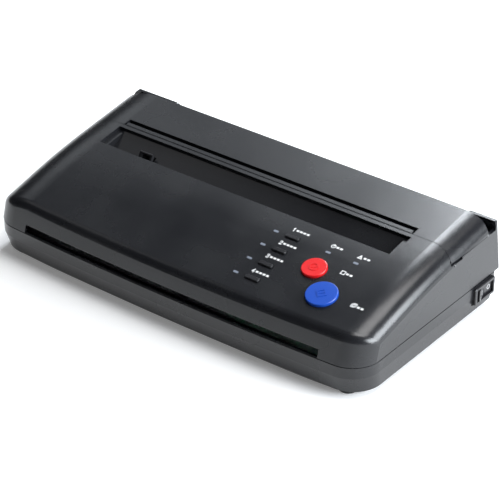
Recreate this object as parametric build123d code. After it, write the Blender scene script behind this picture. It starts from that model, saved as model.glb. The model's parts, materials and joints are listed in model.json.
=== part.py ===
"""Thermal stencil copier: lower and upper case, hinged rear cover, two paper paths with their rollers,
gear trains and motors, control panel and boards.

Millimetres.  X runs along the machine (positive towards the rocker switch), Y from the operator to the
rear, Z up.  The origin is on the table, below the middle of the case."""

from build123d import *
import os
from functools import cache
from math import acos, atan2, cos, degrees, hypot, pi, radians, sin, sqrt, tan

# ---- case -------------------------------------------------------------------------------------------
CASE_WIDTH = 290.0
CASE_DEPTH = 153.0            # at the seam, on the middle line
SIDE = CASE_WIDTH / 2
FRONT = -CASE_DEPTH / 2
REAR = CASE_DEPTH / 2
FOOT_HEIGHT = 2.0             # rubber feet below the lower case
SEAM_HEIGHT = 23.3            # seam between lower and upper case, above the table
WALL = 2.5
FRONT_BOW = 4.1               # ends of the bowed front behind its middle
FRONT_LEAN = 16.0             # degrees that the front face leans back
REAR_LEAN = 9.0               # degrees that the rear wall leans forward
CORNER_RADIUS = 20.0          # front corners in plan
SIDE_BREAK = 0.3              # how far the corner arcs run past the side walls
REAR_CORNER_RADIUS = 2.5
CROWN_RADIUS = 7.0            # between front face and panel
PANEL_SLOPE = 13.9            # degrees, front part of the top
COVER_SLOPE = 8.1             # degrees, rear part of the top
KNEE_Y = REAR - 88.7          # where the two slopes would meet
KNEE_HEIGHT = 55.5
KNEE_RADIUS = 500.0
SHOULDER_WIDTH = 16.45        # half axes of the right elliptic shoulder
SHOULDER_DROP = 12.2
LEFT_SHOULDER_WIDTH = 30.0    # the left shoulder is rounder
LEFT_SHOULDER_DROP = 16.5
SHOULDER_CUT = 0.15           # how far the side wall cuts into the ellipse
BAND_HEIGHT = 8.0             # upright band of the lower case below the seam
LOWER_TAPER_FRONT = 4.0
LOWER_TAPER_SIDE = 1.2
LOWER_TAPER_REAR = 2.6
REAR_STEP = 3.2               # lower case in front of the upper case at the rear
LOWER_CORNER_RADIUS = 4.0     # rear corners of the lower case
BASE_CHAMFER = 2.2
SEAM_GROOVE = 0.6             # shadow line below the seam
SKIN_RUN = 0.6                # each slope's length, as a share of the depth, so that it passes the walls
LOFT_HEIGHT = 55.0            # height of the leaning walls before the top cuts them
ABOVE = 90.0                  # a height above everything
OVERLAP = 0.4                 # how far added pieces run into the wall they grow from

# ---- rear cover and its hinge -----------------------------------------------------------------------
COVER_GAP = 0.35
COVER_REAR_Y = REAR - 16.7
COVER_WING_Y = REAR - 53.2    # front edge of the cover beside the thin slot
COVER_WING_END_Y = COVER_WING_Y - 3.3          # front edge of the cover at the side wall
COVER_WING_DROP = 4.2         # forward sweep of the wing's front edge, a little past the side wall
COVER_WING_REACH = 2.0
COVER_SIDE_FRONT_HEIGHT = 51.9
COVER_SIDE_REAR_HEIGHT = 53.1
HINGE_Y = REAR - 12.65
HINGE_HEIGHT = 56.0
HINGE_PIN_RADIUS = 2.0
HINGE_KNUCKLE_RADIUS = 3.9
HINGE_ARM_X = SIDE - 14.8     # middle of each hinge arm
HINGE_ARM_WIDTH = 4.6
HINGE_BRACKET = 3.0           # thickness of the two bracket plates beside each arm
HINGE_BRACKET_RADIUS = 3.6
HINGE_SIDE_GAP = 0.2
HINGE_SHELF_Z = HINGE_HEIGHT - 5.5             # shelf below each hinge
HINGE_SHELF = 1.2
NOTCH_LENGTH = 11.6           # finger slit below the cover's front corners
NOTCH_HEIGHT = 1.2
NOTCH_DEPTH = 1.8
LEFT_NOTCH_DEPTH = 4.4        # from the side wall's plane, through the rounder shoulder
DIMPLE_RADIUS = 2.5
DIMPLE_DEPTH = 0.7
LIP_DEPTH = 1.5               # lip below the cover's edge at the thin slot
LIP_THICKNESS = 1.6
COVER_RIBS = 7
COVER_RIB_PITCH = 34.0
COVER_RIB_DEPTH = 1.0
RIB_THICKNESS = 1.4
RIB_DEPTH = 3.0
PANEL_RIBS = (-60.0, -20.0, 20.0)
PANEL_RIB_LENGTH = 58.3
EAR_TOP = 59.3
EAR_ROUND = 3.0
EAR_INNER_LEFT = SIDE - 40.0
EAR_INNER_RIGHT = SIDE - 22.0
INLET_SILL = 49.5             # rear wall between the ears

# ---- recess, thin slot and front slot ---------------------------------------------------------------
RECESS_HALF = SIDE - 29.8
RECESS_FRONT_Y = REAR - 75.2
RECESS_REAR_Y = REAR - 56.1
RECESS_BEVEL = 0.7            # bevel on the panel's edge in front of the recess
LEDGE = 4.2                   # ledge of the tray inside the recess ends
STRIP_REAR_Y = RECESS_REAR_Y + 6.2
STRIP_HALF = RECESS_HALF - 2.4
SLOT_REAR_Y = STRIP_REAR_Y + 3.2
SLOT_HALF = RECESS_HALF - 1.0
FRONT_SLOT_HALF = SIDE - 30.0
FRONT_SLOT_HEIGHT = 5.3
TRAY_WALL = 1.6
TRAY_LOW_Y = RECESS_FRONT_Y - 5.3              # lower end of the tray floor
TRAY_LOW_HEIGHT = 43.6
STRIP_GROOVE = 0.4            # half width and depth of the fine groove in the strip
TRAY_FLANGE = 3.0
TRAY_FLANGE_X = RECESS_HALF + 4.3
TRAY_LUG_Y = RECESS_FRONT_Y + 8.7              # lugs below the tray's flange that stand on the side frames
TRAY_LUG = 3.0
GUIDE_BEND_Z = 50.0           # rear guide of the tray, behind the thin slot
GUIDE_END_Y, GUIDE_END_Z = STRIP_REAR_Y + 1.9, 44.0

# ---- rollers and paper paths ------------------------------------------------------------------------
SHAFT_RADIUS = 3.0
FRAME_X = SIDE - 28.5         # inner face of each side frame
ROLLER_HALF = FRAME_X - 7.5
PLATEN_Y, PLATEN_Z, PLATEN_RADIUS = REAR - 37.65, 38.5, 8.0
FEED_Y, FEED_Z, FEED_RADIUS = REAR - 90.5, 33.0, 7.0
SCAN_Y, SCAN_Z, SCAN_RADIUS = FEED_Y - 32.0, 29.8, 5.5
PAPER_GAP = 0.3
FEED_SLEEVE = 34.0            # length of each of the feed roller's two rubber sleeves
FEED_SLEEVE_X = 40.0
SENSOR_WIDTH = 16.0           # image sensor bar
SENSOR_HEIGHT = 13.0
SENSOR_HALF = FRAME_X - 5.5
SENSOR_RIB_X = SENSOR_HALF - 21.0
SENSOR_ROOM = 7.0             # depth of the room below the sensor's glass
SENSOR_FRAME = 1.5            # rim round the glass
GLASS_THICKNESS = 1.6
GUIDE_THICKNESS = 1.2
FRONT_GUIDE_Y, FRONT_GUIDE_Z = FRONT + 5.5, SEAM_HEIGHT - 0.1
GUIDE_RIB_X = 70.0
GUIDE_RIB = 2.0
GUIDE_EDGE = 0.3              # between the guides and the image sensor
GUIDE_STEP = 0.4              # front guide below the sensor's glass
GUIDE_FEED_GAP = 0.8          # between the rear guide and the feed roller
GUIDE_FEED_RISE = 1.0         # rear guide's end above the feed roller's axis
REAR_RIB = 4.0                # ribs below the rear guide, front to back
PAD_FRONT_Y, PAD_REAR_Y = FEED_Y - 6.0, FEED_Y + 3.0         # bar that holds the separation pads
PAD_SEAT = FEED_Z + 8.6
PAD_BAR = 1.5
PAD_TAB = 1.8
PAD_LENGTH = 6.0
INLET_HALF = FRAME_X - 2.0    # guide between rear sill and platen
INLET_FRONT_Y, INLET_FRONT_Z = PLATEN_Y + 10.15, PLATEN_Z + 7.0
INLET_POST_Y = REAR - 16.5
INLET_POST = 4.0
INLET_TAB = 6.0

# ---- frames, gears and motors -----------------------------------------------------------------------
FRAME_THICKNESS = 1.5
FRAME_FOOT_Z = 8.0
FRAME_FOOT = 9.0              # length of the foot tabs turned in from the frames
FRAME_FEET = (FEED_Y - 20.0, REAR - 26.5)      # y of the foot tabs
FRAME_FOOT_WIDTH = 10.0
FRAME_SEAT_RADIUS = 3.5
FRAME_FRONT_Y, FRAME_REAR_Y = SCAN_Y - 10.0, REAR - 18.5
FRAME_TRAY_SEAT = 50.0
FRAME_WINDOWS = ((SCAN_Y + 14.0, 38.0), (REAR - 28.5, 22.0))   # y, z of the lightening holes
FRAME_WINDOW_RADIUS = 3.0
BUSH_RADIUS = 5.0
BUSH_FLANGE = 6.5
RUNNING_GAP = 0.05
GEAR_X = FRAME_X + 4.0        # inner face of the gears
GEAR_WIDTH = 5.0
GEAR_HUB_X = GEAR_X - 1.5
GEAR_HUB_RADIUS = 4.0
GEAR_RIM = 3.2                # from the pitch circle to the dished web of the larger gears
GEAR_DISH = 2.0               # depth of that dish
SHAFT_END = GEAR_X + GEAR_WIDTH + 1.3          # gear end of the shafts and studs
PLAIN_END = FRAME_X + 4.0     # other end of the roller shafts
MODULE = 0.8
PRESSURE_ANGLE = 20.0
ADDENDUM = 0.85
DEDENDUM = 1.2
BACKLASH = 0.22
PLATEN_TEETH = 28
IDLER_TEETH = 30
PINION_TEETH = 12
FEED_TEETH = 24
LINK_TEETH = 24
SCAN_TEETH = 18
STUD_RADIUS = 2.0
STUD_SHOULDER = 1.6
MOTOR_Y, MOTOR_Z = REAR - 63.4, 25.5
MOTOR_RADIUS = 17.5
MOTOR_LENGTH = 18.0
MOTOR_SHAFT_RADIUS = 1.5
MOTOR_EAR_PITCH = 42.0
MOTOR_EAR_WIDTH = 7.0
MOTOR_EAR_TILT = 8.0          # degrees
MOTOR_BOSS_RADIUS = 4.5
MOTOR_BEARING = 5.0           # length of the shaft inside the motor
MOTOR_PLUG = 10.0             # width of the connector on the motor's side

# ---- thermal head -----------------------------------------------------------------------------------
HEAD_THICKNESS = 1.2
HEAD_FRONT_Y = PLATEN_Y - 5.85
HEAD_REAR_Y = HEAD_FRONT_Y + 13.0
SINK_THICKNESS = 4.0
SINK_REAR_Y = PLATEN_Y + 15.15
SINK_FIN_HEIGHT = 2.2
SINK_FIN_PITCH = 4.0
SINK_FIN_COUNT = 4
SINK_FIN = 1.4
HEAD_SIDE_GAP = 5.5           # between the head's ends and the side frames
HEAD_HALF = FRAME_X - HEAD_SIDE_GAP
HEAD_PIVOT_Y, HEAD_PIVOT_Z = SINK_REAR_Y - 1.0, PLATEN_Z + 11.7
HEAD_PIVOT_RADIUS = 1.6
SPRING_BAR_Z = PLATEN_Z + 17.7
SPRING_BAR_THICKNESS = 1.5
SPRING_BAR_HALF = 5.0
SPRING_X = 60.0
SPRING_RADIUS = 2.6
SPRING_POCKET = 4.0
SPRING_WIRE = 0.4
SPRING_TURNS = 3
SPRING_FACETS = 4
HEAD_SPRING_Y = PLATEN_Y + 1.15

# ---- control panel ----------------------------------------------------------------------------------
PANEL_MIDDLE_Y = (FRONT + RECESS_FRONT_Y) / 2
MODE_KEY_X = SIDE - 91.7
MODE_LAMP_X = MODE_KEY_X - 12.4
MODE_FIRST_Y = PANEL_MIDDLE_Y + 22.0
MODE_PITCH = 13.25
MODE_COUNT = 4
MODE_KEY_LENGTH = 10.0
MODE_KEY_WIDTH = 3.2
MODE_KEY_PROUD = 1.0
LAMP_LENGTH = 3.4
LAMP_WIDTH = 1.6
POWER_LAMP_X, ERROR_LAMP_X, STATUS_LAMP_Y = SIDE - 64.8, SIDE - 44.5, PANEL_MIDDLE_Y + 21.5
STOP_X, STOP_Y, STOP_RADIUS = SIDE - 63.5, PANEL_MIDDLE_Y + 6.1, 8.0
COPY_X, COPY_Y, COPY_RADIUS = SIDE - 46.5, PANEL_MIDDLE_Y - 9.6, 10.0
BUTTON_PROUD = 1.7
BUTTON_CLEARANCE = 0.3
BUTTON_FLANGE = 1.2
BUTTON_ROUND = 0.6
KEY_BEVEL = 0.4
KEY_BOARD_DEPTH = 8.5         # board surface below the panel's outer face
BOARD_THICKNESS = 1.6
TACT_SIZE = 6.0
TACT_HEIGHT = 3.4
STEM_RADIUS = 1.5
STEM_ENTRY = 0.5              # how far a stem stands in its switch at rest
TACT_BORE = 1.8
TACT_SINK = 0.3               # how far the slanting pieces start below the board's face
FLANGE_GAP = 0.1
LAMP_PROUD = 0.2
LAMP_CLEARANCE = 0.05
SYMBOL_SIZE = 3.2             # raised symbols on the round buttons
SYMBOL_LINE = 0.9
SYMBOL_HEIGHT = 0.25
SYMBOL_ROOT = 0.2
SYMBOL_TILT = 45.0
POST_INSET = 2.6
KEY_POST_RADIUS = 2.2
KEY_BOARD_LEFT, KEY_BOARD_RIGHT = SIDE - 111.0, SIDE - 35.0
KEY_BOARD_FRONT, KEY_BOARD_REAR = PANEL_MIDDLE_Y - 23.0, PANEL_MIDDLE_Y + 26.6

# ---- switch, inlet, boards, feet --------------------------------------------------------------------
SWITCH_Y, SWITCH_Z = REAR - 19.0, 15.7
SWITCH_LENGTH, SWITCH_HEIGHT = 22.0, 12.2
SWITCH_BEZEL = 2.0
SWITCH_RIM = 1.0
SWITCH_BODY_DEPTH = 17.0
SWITCH_WALL = 0.9
SWITCH_ROOM = 11.0            # depth of the room for the rocker
SWITCH_TAG = 5.0              # length and pitch of the solder tags
TAG_THICKNESS = 0.8
ROCKER_X = SIDE - 4.0
ROCKER_PIN = 1.2
ROCKER_PIN_ENTRY = 0.7        # how far the pin stands in the housing's walls
ROCKER_CLEARANCE = 0.7
ROCKER_END = 5.6              # from the rocker's axis to its outer corners
ROCKER_VALLEY = 4.4
ROCKER_TILT = 8.0             # degrees, rest position
INLET_X, INLET_Z = SIDE - 45.0, 12.6
INLET_WIDTH, INLET_HEIGHT, INLET_DEPTH = 19.0, 11.0, 15.0
INLET_RIM = 1.5
INLET_PLATE = 1.0
INLET_PIN_PITCH = 8.6
INLET_PIN_RADIUS = 1.2
FOOT_X, FOOT_FRONT_Y, FOOT_REAR_Y = SIDE - 17.0, FRONT + 16.5, REAR - 14.5
FOOT_RADIUS = 6.0
FOOT_CHAMFER = 0.5
FLOOR_TOP = FOOT_HEIGHT + WALL
BOARD_Z = 9.0
MAIN_BOARD = (28.5 - FRAME_X, FRAME_X - 50.5, REAR - 106.5, REAR - 46.5)    # x from, to, y from, to
POWER_BOARD = (24.5 - FRAME_X, FRAME_X - 38.5, REAR - 29.5, REAR - 8.5)
STANDOFF_RADIUS = 2.6
STANDOFF_INSET = 4.0
# parts on the boards: place along and across as shares of the board, length, width, height
MAIN_PARTS = [(0.44, 0.5, 24.0, 24.0, 2.6), (0.70, 0.63, 14.0, 20.0, 2.2), (0.88, 0.43, 10.0, 16.0, 2.2),
              (0.20, 0.37, 16.0, 16.0, 2.6), (0.18, 0.90, 28.0, 6.0, 8.0), (0.51, 0.92, 30.0, 5.0, 7.0),
              (0.83, 0.08, 24.0, 5.0, 7.0), (0.38, 0.08, 20.0, 5.0, 7.0)]
POWER_PARTS = [(0.30, 0.48, 26.0, 19.0, 22.0), (0.52, 0.48, 12.0, 18.0, 14.0), (0.93, 0.48, 10.0, 14.0, 9.0),
               (0.13, 0.71, 20.0, 3.0, 20.0)]
# round cans on the boards: place along and across, radius, height
MAIN_CANS = [(0.04, 0.67, 4.0, 9.0), (0.93, 0.73, 4.0, 9.0), (0.58, 0.27, 3.0, 7.0)]
POWER_CANS = [(0.645, 0.48, 8.0, 20.0), (0.765, 0.43, 5.0, 16.0), (0.84, 0.62, 5.0, 16.0), (0.035, 0.33, 4.0, 14.0)]
SCREW_RADIUS = 1.5
SCREW_CLEARANCE = 0.2
SCREW_HEAD_RADIUS = 3.0
SCREW_HEAD = 2.0
SCREW_SEAT = 7.0
SCREW_LENGTH = 13.0
POST_RADIUS = 3.6
POST_WEB = 1.6
BOSS_RADIUS = 4.4
BOSS_TOP = 12.0
CASE_SCREWS = [(SIDE - 14.5, FRONT + 26.5), (SIDE - 10.5, REAR - 72.5), (SIDE - 26.0, REAR - 11.0)]   # and mirrored
POST_REAR_TOP = 38.0
FOOT_PEG_RADIUS = 2.0
VENT_COUNT = 9
VENT_PITCH = 9.0
VENT_WIDTH = 3.0
VENT_START = 30.0             # from the power board's left end

DOC_LEVER_X = 32.7 - RECESS_HALF
DOC_LEVER_Y, DOC_LEVER_Z = RECESS_FRONT_Y - 2.8, 39.0
DOC_LEVER_REACH_Y, DOC_LEVER_REACH_Z = RECESS_FRONT_Y + 7.7, 55.3
DOC_LEVER_ROOM = 3.0          # the slot's length before and behind the lever
SHEET_LEVER_X = -20.0
SHEET_LEVER_Y, SHEET_LEVER_Z = REAR - 13.0, 41.0
SHEET_TIP_Z = 49.6
SHEET_SLOT = 2.5              # half width of that lever's slot
SHEET_LEVER_REACH = 9.0       # the slot's length before the lever's pivot
LEVER_PIN_RADIUS = 1.0
LEVER_HUB_RADIUS = 2.2
LEVER_LUG_RADIUS = 2.0
LEVER_THICKNESS = 1.4
LEVER_TIP = 1.0
LEVER_SLOT = 5.5              # half width of the lever's slot in the tray
LEVER_SIDE_GAP = 0.3


# ---- small helpers ----------------------------------------------------------------------------------
def block(x0, x1, y0, y1, z0, z1):
    return Pos((x0 + x1) / 2, (y0 + y1) / 2, (z0 + z1) / 2) * Box(x1 - x0, y1 - y0, z1 - z0)


def rod_x(y, z, radius, x0, x1):
    return Pos((x0 + x1) / 2, y, z) * Rot(0, 90, 0) * Cylinder(radius, x1 - x0)


def rod_z(x, y, radius, z0, z1):
    return Pos(x, y, (z0 + z1) / 2) * Cylinder(radius, z1 - z0)


def rod_y(x, z, radius, y0, y1):
    return Pos(x, (y0 + y1) / 2, z) * Rot(90, 0, 0) * Cylinder(radius, y1 - y0)


def slab_x(points, x0, x1):
    """A YZ outline as a plate from x0 to x1."""
    face = make_face(Polyline(*[(y, z) for y, z in points], close=True))
    return extrude(Plane.YZ.offset(x0) * face, amount=x1 - x0)


def slab_z(points, z0, z1):
    """An XY outline as a prism from z0 to z1."""
    face = make_face(Polyline(*points, close=True))
    return extrude(Plane.XY.offset(z0) * face, amount=z1 - z0)


def mirrored(shape):
    return shape + mirror(shape, about=Plane.YZ)


def group(*shapes):
    """Separate solids kept side by side in one node."""
    solids = []
    for shape in shapes:
        solids.extend(shape.solids())
    return Compound(children=solids)


# ---- the top skin: two slopes joined by a large arc -------------------------------------------------
def skin_z(y):
    """Height of the top skin on the middle line."""
    front, rear = radians(PANEL_SLOPE), radians(COVER_SLOPE)
    reach = KNEE_RADIUS * tan((front - rear) / 2)
    y_start, y_end = KNEE_Y - reach * cos(front), KNEE_Y + reach * cos(rear)
    if y <= y_start:
        return KNEE_HEIGHT + (y - KNEE_Y) * tan(front)
    if y >= y_end:
        return KNEE_HEIGHT + (y - KNEE_Y) * tan(rear)
    centre_y = y_start + KNEE_RADIUS * sin(front)
    centre_z = KNEE_HEIGHT - reach * sin(front) - KNEE_RADIUS * cos(front)
    return centre_z + sqrt(KNEE_RADIUS ** 2 - (y - centre_y) ** 2)


def skin_plane(x, y, depth=0.0):
    """Plane on the skin at x, y, lowered along its normal; its Z axis points outwards."""
    step = 0.5
    angle = atan2(skin_z(y + step) - skin_z(y - step), 2 * step)
    normal = Vector(0, -sin(angle), cos(angle))
    return Plane(Vector(x, y, skin_z(y)) - normal * depth, x_dir=(1, 0, 0), z_dir=normal)


def skin_path(inset):
    front, rear = radians(PANEL_SLOPE), radians(COVER_SLOPE)
    middle, half = (front + rear) / 2, (front - rear) / 2
    knee_y = KNEE_Y + inset * sin(middle) / cos(half)
    knee_z = KNEE_HEIGHT - inset * cos(middle) / cos(half)
    run = CASE_DEPTH * SKIN_RUN
    start = (0, knee_y - run * cos(front), knee_z - run * sin(front))
    end = (0, knee_y + run * cos(rear), knee_z + run * sin(rear))
    return FilletPolyline(start, (0, knee_y, knee_z), end, radius=KNEE_RADIUS - inset)


def shoulder_arc(side, width, drop, inset, up):
    """Elliptic shoulder in the sweep's plane, from the side wall up to the top."""
    half_width = SIDE - inset
    centre_x = SIDE + SHOULDER_CUT - width
    a, b = width - inset, drop - inset
    start_angle = degrees(acos((half_width - centre_x) / a))
    arc = EllipticalCenterArc((centre_x, -drop * up), a, b, start_angle=start_angle * up,
                              arc_size=(90 - start_angle) * up)
    return arc if side > 0 else mirror(arc, about=Plane.YZ)


@cache
def skin_block(inset):
    """Everything below the top skin and between the side walls, moved in by inset."""
    path = skin_path(inset)
    plane = Plane(path @ 0, x_dir=(1, 0, 0), z_dir=path % 0)
    up = 1 if plane.y_dir.Z > 0 else -1
    right = shoulder_arc(1, SHOULDER_WIDTH, SHOULDER_DROP, inset, up)
    left = shoulder_arc(-1, LEFT_SHOULDER_WIDTH, LEFT_SHOULDER_DROP, inset, up)
    lift = Vector(0, inset * up)
    right, left = Pos(*lift) * right, Pos(*lift) * left
    foot = -up * CASE_DEPTH
    low_right, low_left = (SIDE - inset, foot), (inset - SIDE, foot)
    face = make_face([right, Line(right @ 1, left @ 1), left, Line(left @ 0, low_left),
                      Line(low_left, low_right), Line(low_right, right @ 0)])
    return sweep(plane * face, path=path)


def plan_outline(half, front, rear, front_radius, rear_radius):
    """Plan view of the case: bowed front, straight sides and rear."""
    bow = ThreePointArc((-half, front + FRONT_BOW), (0, front), (half, front + FRONT_BOW))
    rest = Polyline((half, front + FRONT_BOW), (half, rear), (-half, rear), (-half, front + FRONT_BOW))
    face = make_face([bow] + rest.edges())
    face = fillet(face.vertices().sort_by(Axis.Y)[:2], front_radius)
    return fillet(face.vertices().sort_by(Axis.Y)[-2:], rear_radius)


def upper_outline(z, inset):
    lean = radians(FRONT_LEAN)
    back = radians(REAR_LEAN)
    front = FRONT + (z - SEAM_HEIGHT) * tan(lean) + inset / cos(lean)
    rear = REAR - (z - SEAM_HEIGHT) * tan(back) - inset / cos(back)
    face = plan_outline(SIDE - inset + SIDE_BREAK, front, rear, CORNER_RADIUS - inset,
                        max(REAR_CORNER_RADIUS - inset, 0.5))
    return Pos(0, 0, z) * face


# ---- case shells ------------------------------------------------------------------------------------
def upper_solid(inset, start):
    envelope = loft([upper_outline(start, inset).face(), upper_outline(SEAM_HEIGHT + LOFT_HEIGHT, inset).face()],
                    ruled=True)
    return skin_block(inset) & envelope


def rounded_upper_solid():
    """The upper case as a solid, with the round edge between front face and panel."""
    body = upper_solid(0, SEAM_HEIGHT)
    crown = [edge for edge in body.edges()
             if edge.geom_type == GeomType.BSPLINE
             and edge.bounding_box().min.Y < FRONT + CORNER_RADIUS
             and edge.center().Z > SEAM_HEIGHT + CORNER_RADIUS / 2]
    return fillet(crown, CROWN_RADIUS)


def side_top(y):
    """Height of the side wall's top edge below the cover."""
    share = (y - COVER_WING_END_Y) / (COVER_REAR_Y - COVER_WING_END_Y)
    return COVER_SIDE_FRONT_HEIGHT + share * (COVER_SIDE_REAR_HEIGHT - COVER_SIDE_FRONT_HEIGHT)


def cover_zone(gap, rear_y, slot_front):
    """Plan of the rear cover; the front edge steps back behind the thin slot."""
    reach = SIDE + COVER_WING_REACH
    wing_x = SIDE - SHOULDER_WIDTH
    wing_y = COVER_WING_Y + gap
    sides = [Line((-reach, rear_y), (reach, rear_y)),
             Line((-SLOT_HALF, slot_front), (SLOT_HALF, slot_front))]
    for sign in (-1, 1):
        curve = TangentArc((sign * wing_x, wing_y), (sign * reach, wing_y - COVER_WING_DROP),
                           tangent=(sign, 0))
        sides.append(curve)
        sides.append(Line(curve @ 1, (sign * reach, rear_y)))
        sides.append(Line((sign * wing_x, wing_y), (sign * SLOT_HALF, wing_y)))
        sides.append(Line((sign * SLOT_HALF, wing_y), (sign * SLOT_HALF, slot_front)))
    return extrude(Plane.XY.offset(SEAM_HEIGHT) * make_face(sides), amount=ABOVE - SEAM_HEIGHT)


def above_side_walls(gap):
    """Everything above the side walls' top edge, raised by gap."""
    reach = SIDE + 3
    low, high = COVER_WING_END_Y - 5, REAR + 5
    return slab_x([(low, side_top(low) + gap), (high, side_top(high) + gap), (high, ABOVE), (low, ABOVE)],
                  -reach, reach)


def ear_inner_y():
    """Inner face of the rear wall at the top of the ears."""
    lean = radians(REAR_LEAN)
    return REAR - (EAR_TOP - SEAM_HEIGHT) * tan(lean) - WALL / cos(lean)


def ear_cut():
    """Room above the rear wall's sill and above the two ears, whose inner corners are rounded."""
    left, right, reach = -EAR_INNER_LEFT, EAR_INNER_RIGHT, CASE_WIDTH
    points = [(left, INLET_SILL), (right, INLET_SILL), (right, EAR_TOP), (reach, EAR_TOP), (reach, ABOVE),
              (-reach, ABOVE), (-reach, EAR_TOP), (left, EAR_TOP)]
    face = make_face(Polyline(*points, close=True))
    corners = [corner for corner in face.vertices() if -reach < corner.X < reach]
    return extrude(Plane.XZ.offset(-CASE_DEPTH) * fillet(corners, EAR_ROUND), amount=CASE_DEPTH - ear_inner_y() + 1)


def recess_bevel():
    """Wedge that bevels the panel's edge in front of the recess."""
    front, rear = RECESS_FRONT_Y - RECESS_BEVEL, RECESS_FRONT_Y + RECESS_BEVEL
    top = skin_z(RECESS_FRONT_Y)
    return slab_x([(front, skin_z(front)), (rear, top - 2 * RECESS_BEVEL), (rear, top + 1), (front, top + 1)],
                  -RECESS_HALF, RECESS_HALF)


def upper_case():
    case = rounded_upper_solid() - upper_solid(WALL, SEAM_HEIGHT - WALL)
    case -= cover_zone(0, ear_inner_y(), RECESS_REAR_Y) & above_side_walls(0)
    case -= ear_cut()
    case -= block(-RECESS_HALF, RECESS_HALF, RECESS_FRONT_Y, RECESS_REAR_Y, KNEE_HEIGHT - 4, ABOVE)
    case -= recess_bevel()
    case -= block(-FRONT_SLOT_HALF, FRONT_SLOT_HALF, -CASE_DEPTH, FRONT + CORNER_RADIUS - FRONT_BOW,
                  SEAM_HEIGHT - 1, SEAM_HEIGHT + FRONT_SLOT_HEIGHT)
    case = case + rear_ledge() + case_posts() + hinge_brackets() + board_posts() + panel_ribs()
    return case - control_holes() - finger_notches()


def rear_ledge():
    """Shelf inside the rear wall that closes the step above the lower case."""
    rear = REAR
    return block(-SIDE + WALL, SIDE - WALL, rear - REAR_STEP - WALL, rear - 1.0,
                 SEAM_HEIGHT, SEAM_HEIGHT + 2)


def finger_notch(side, depth):
    """Slit and thumb dimple below one front corner of the cover."""
    edge, top = SIDE, side_top(COVER_WING_END_Y)
    notch = block(edge - depth, edge + 1, COVER_WING_END_Y, COVER_WING_END_Y + NOTCH_LENGTH, top - NOTCH_HEIGHT,
                  top + 2)
    notch += Pos(edge + DIMPLE_RADIUS - DIMPLE_DEPTH - depth + NOTCH_DEPTH, COVER_WING_END_Y + DIMPLE_RADIUS + 1,
                 top - NOTCH_HEIGHT) * Sphere(DIMPLE_RADIUS)
    return notch if side > 0 else mirror(notch, about=Plane.YZ)


def finger_notches():
    return finger_notch(1, NOTCH_DEPTH) + finger_notch(-1, LEFT_NOTCH_DEPTH)


def case_posts():
    """Screw posts that hang from the upper case; the rear ones have a web to the rear wall."""
    room = upper_solid(WALL - OVERLAP, SEAM_HEIGHT - 12)
    posts = Part()
    for x, y in CASE_SCREWS:
        top = skin_z(y) if y < COVER_WING_END_Y else POST_REAR_TOP
        post = rod_z(x, y, POST_RADIUS, BOSS_TOP, top)
        if y > COVER_WING_END_Y:
            post += block(x - POST_WEB / 2, x + POST_WEB / 2, y, REAR - 1, SEAM_HEIGHT + 2, top)
        post -= rod_z(x, y, SCREW_RADIUS, BOSS_TOP - 1, SCREW_SEAT + SCREW_LENGTH + 2)
        posts += mirrored(post) & room
    return posts


def hinge_brackets():
    """Pairs of plates inside the ears that carry the hinge pins, and a shelf below each pair."""
    wall_y = REAR - (HINGE_HEIGHT - SEAM_HEIGHT) * tan(radians(REAR_LEAN)) - 1.0
    front_y = HINGE_Y - HINGE_BRACKET_RADIUS
    outline = [(front_y, HINGE_SHELF_Z), (wall_y + 0.9, HINGE_SHELF_Z), (wall_y, HINGE_HEIGHT + 1.6),
               (front_y, HINGE_HEIGHT + 1.6)]
    plates = Part()
    for side in (-1, 1):
        middle = HINGE_ARM_X + side * (HINGE_ARM_WIDTH / 2 + HINGE_SIDE_GAP + HINGE_BRACKET / 2)
        x0, x1 = middle - HINGE_BRACKET / 2, middle + HINGE_BRACKET / 2
        plate = slab_x(outline, x0, x1) + rod_x(HINGE_Y, HINGE_HEIGHT, HINGE_BRACKET_RADIUS, x0, x1)
        plates += plate - rod_x(HINGE_Y, HINGE_HEIGHT, HINGE_PIN_RADIUS, x0 - 1, x1 + 1)
    brackets = mirrored(plates)
    room = upper_solid(WALL - OVERLAP, SEAM_HEIGHT)
    for x0, x1 in ((-SIDE, -EAR_INNER_LEFT), (EAR_INNER_RIGHT, SIDE)):
        brackets += room & block(x0, x1, front_y, wall_y + 0.9, HINGE_SHELF_Z, HINGE_SHELF_Z + HINGE_SHELF)
    return brackets


def panel_ribs():
    """Stiffening ribs under the panel, left of the key board."""
    room = skin_block(WALL - OVERLAP) - skin_block(WALL + RIB_DEPTH)
    rear = RECESS_FRONT_Y - 5
    ribs = Part()
    for x in PANEL_RIBS:
        ribs += room & block(x - RIB_THICKNESS / 2, x + RIB_THICKNESS / 2, rear - PANEL_RIB_LENGTH, rear,
                             SEAM_HEIGHT, ABOVE)
    return ribs & upper_solid(WALL - OVERLAP, SEAM_HEIGHT)


def rear_cover():
    cover = skin_block(0) - skin_block(WALL)
    cover &= cover_zone(COVER_GAP, COVER_REAR_Y, SLOT_REAR_Y)
    cover &= above_side_walls(COVER_GAP)
    lip = skin_block(OVERLAP) - skin_block(WALL + LIP_DEPTH)
    cover += lip & block(-SLOT_HALF, SLOT_HALF, SLOT_REAR_Y, SLOT_REAR_Y + LIP_THICKNESS, SEAM_HEIGHT, ABOVE)
    band = skin_block(WALL - OVERLAP) - skin_block(WALL + COVER_RIB_DEPTH)
    for k in range(COVER_RIBS):
        x = (k - (COVER_RIBS - 1) / 2) * COVER_RIB_PITCH
        cover += band & block(x - RIB_THICKNESS / 2, x + RIB_THICKNESS / 2, SLOT_REAR_Y + 0.5,
                              COVER_REAR_Y, SEAM_HEIGHT, ABOVE)
    return cover + hinge_arm(HINGE_ARM_X) + hinge_arm(-HINGE_ARM_X)


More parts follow.
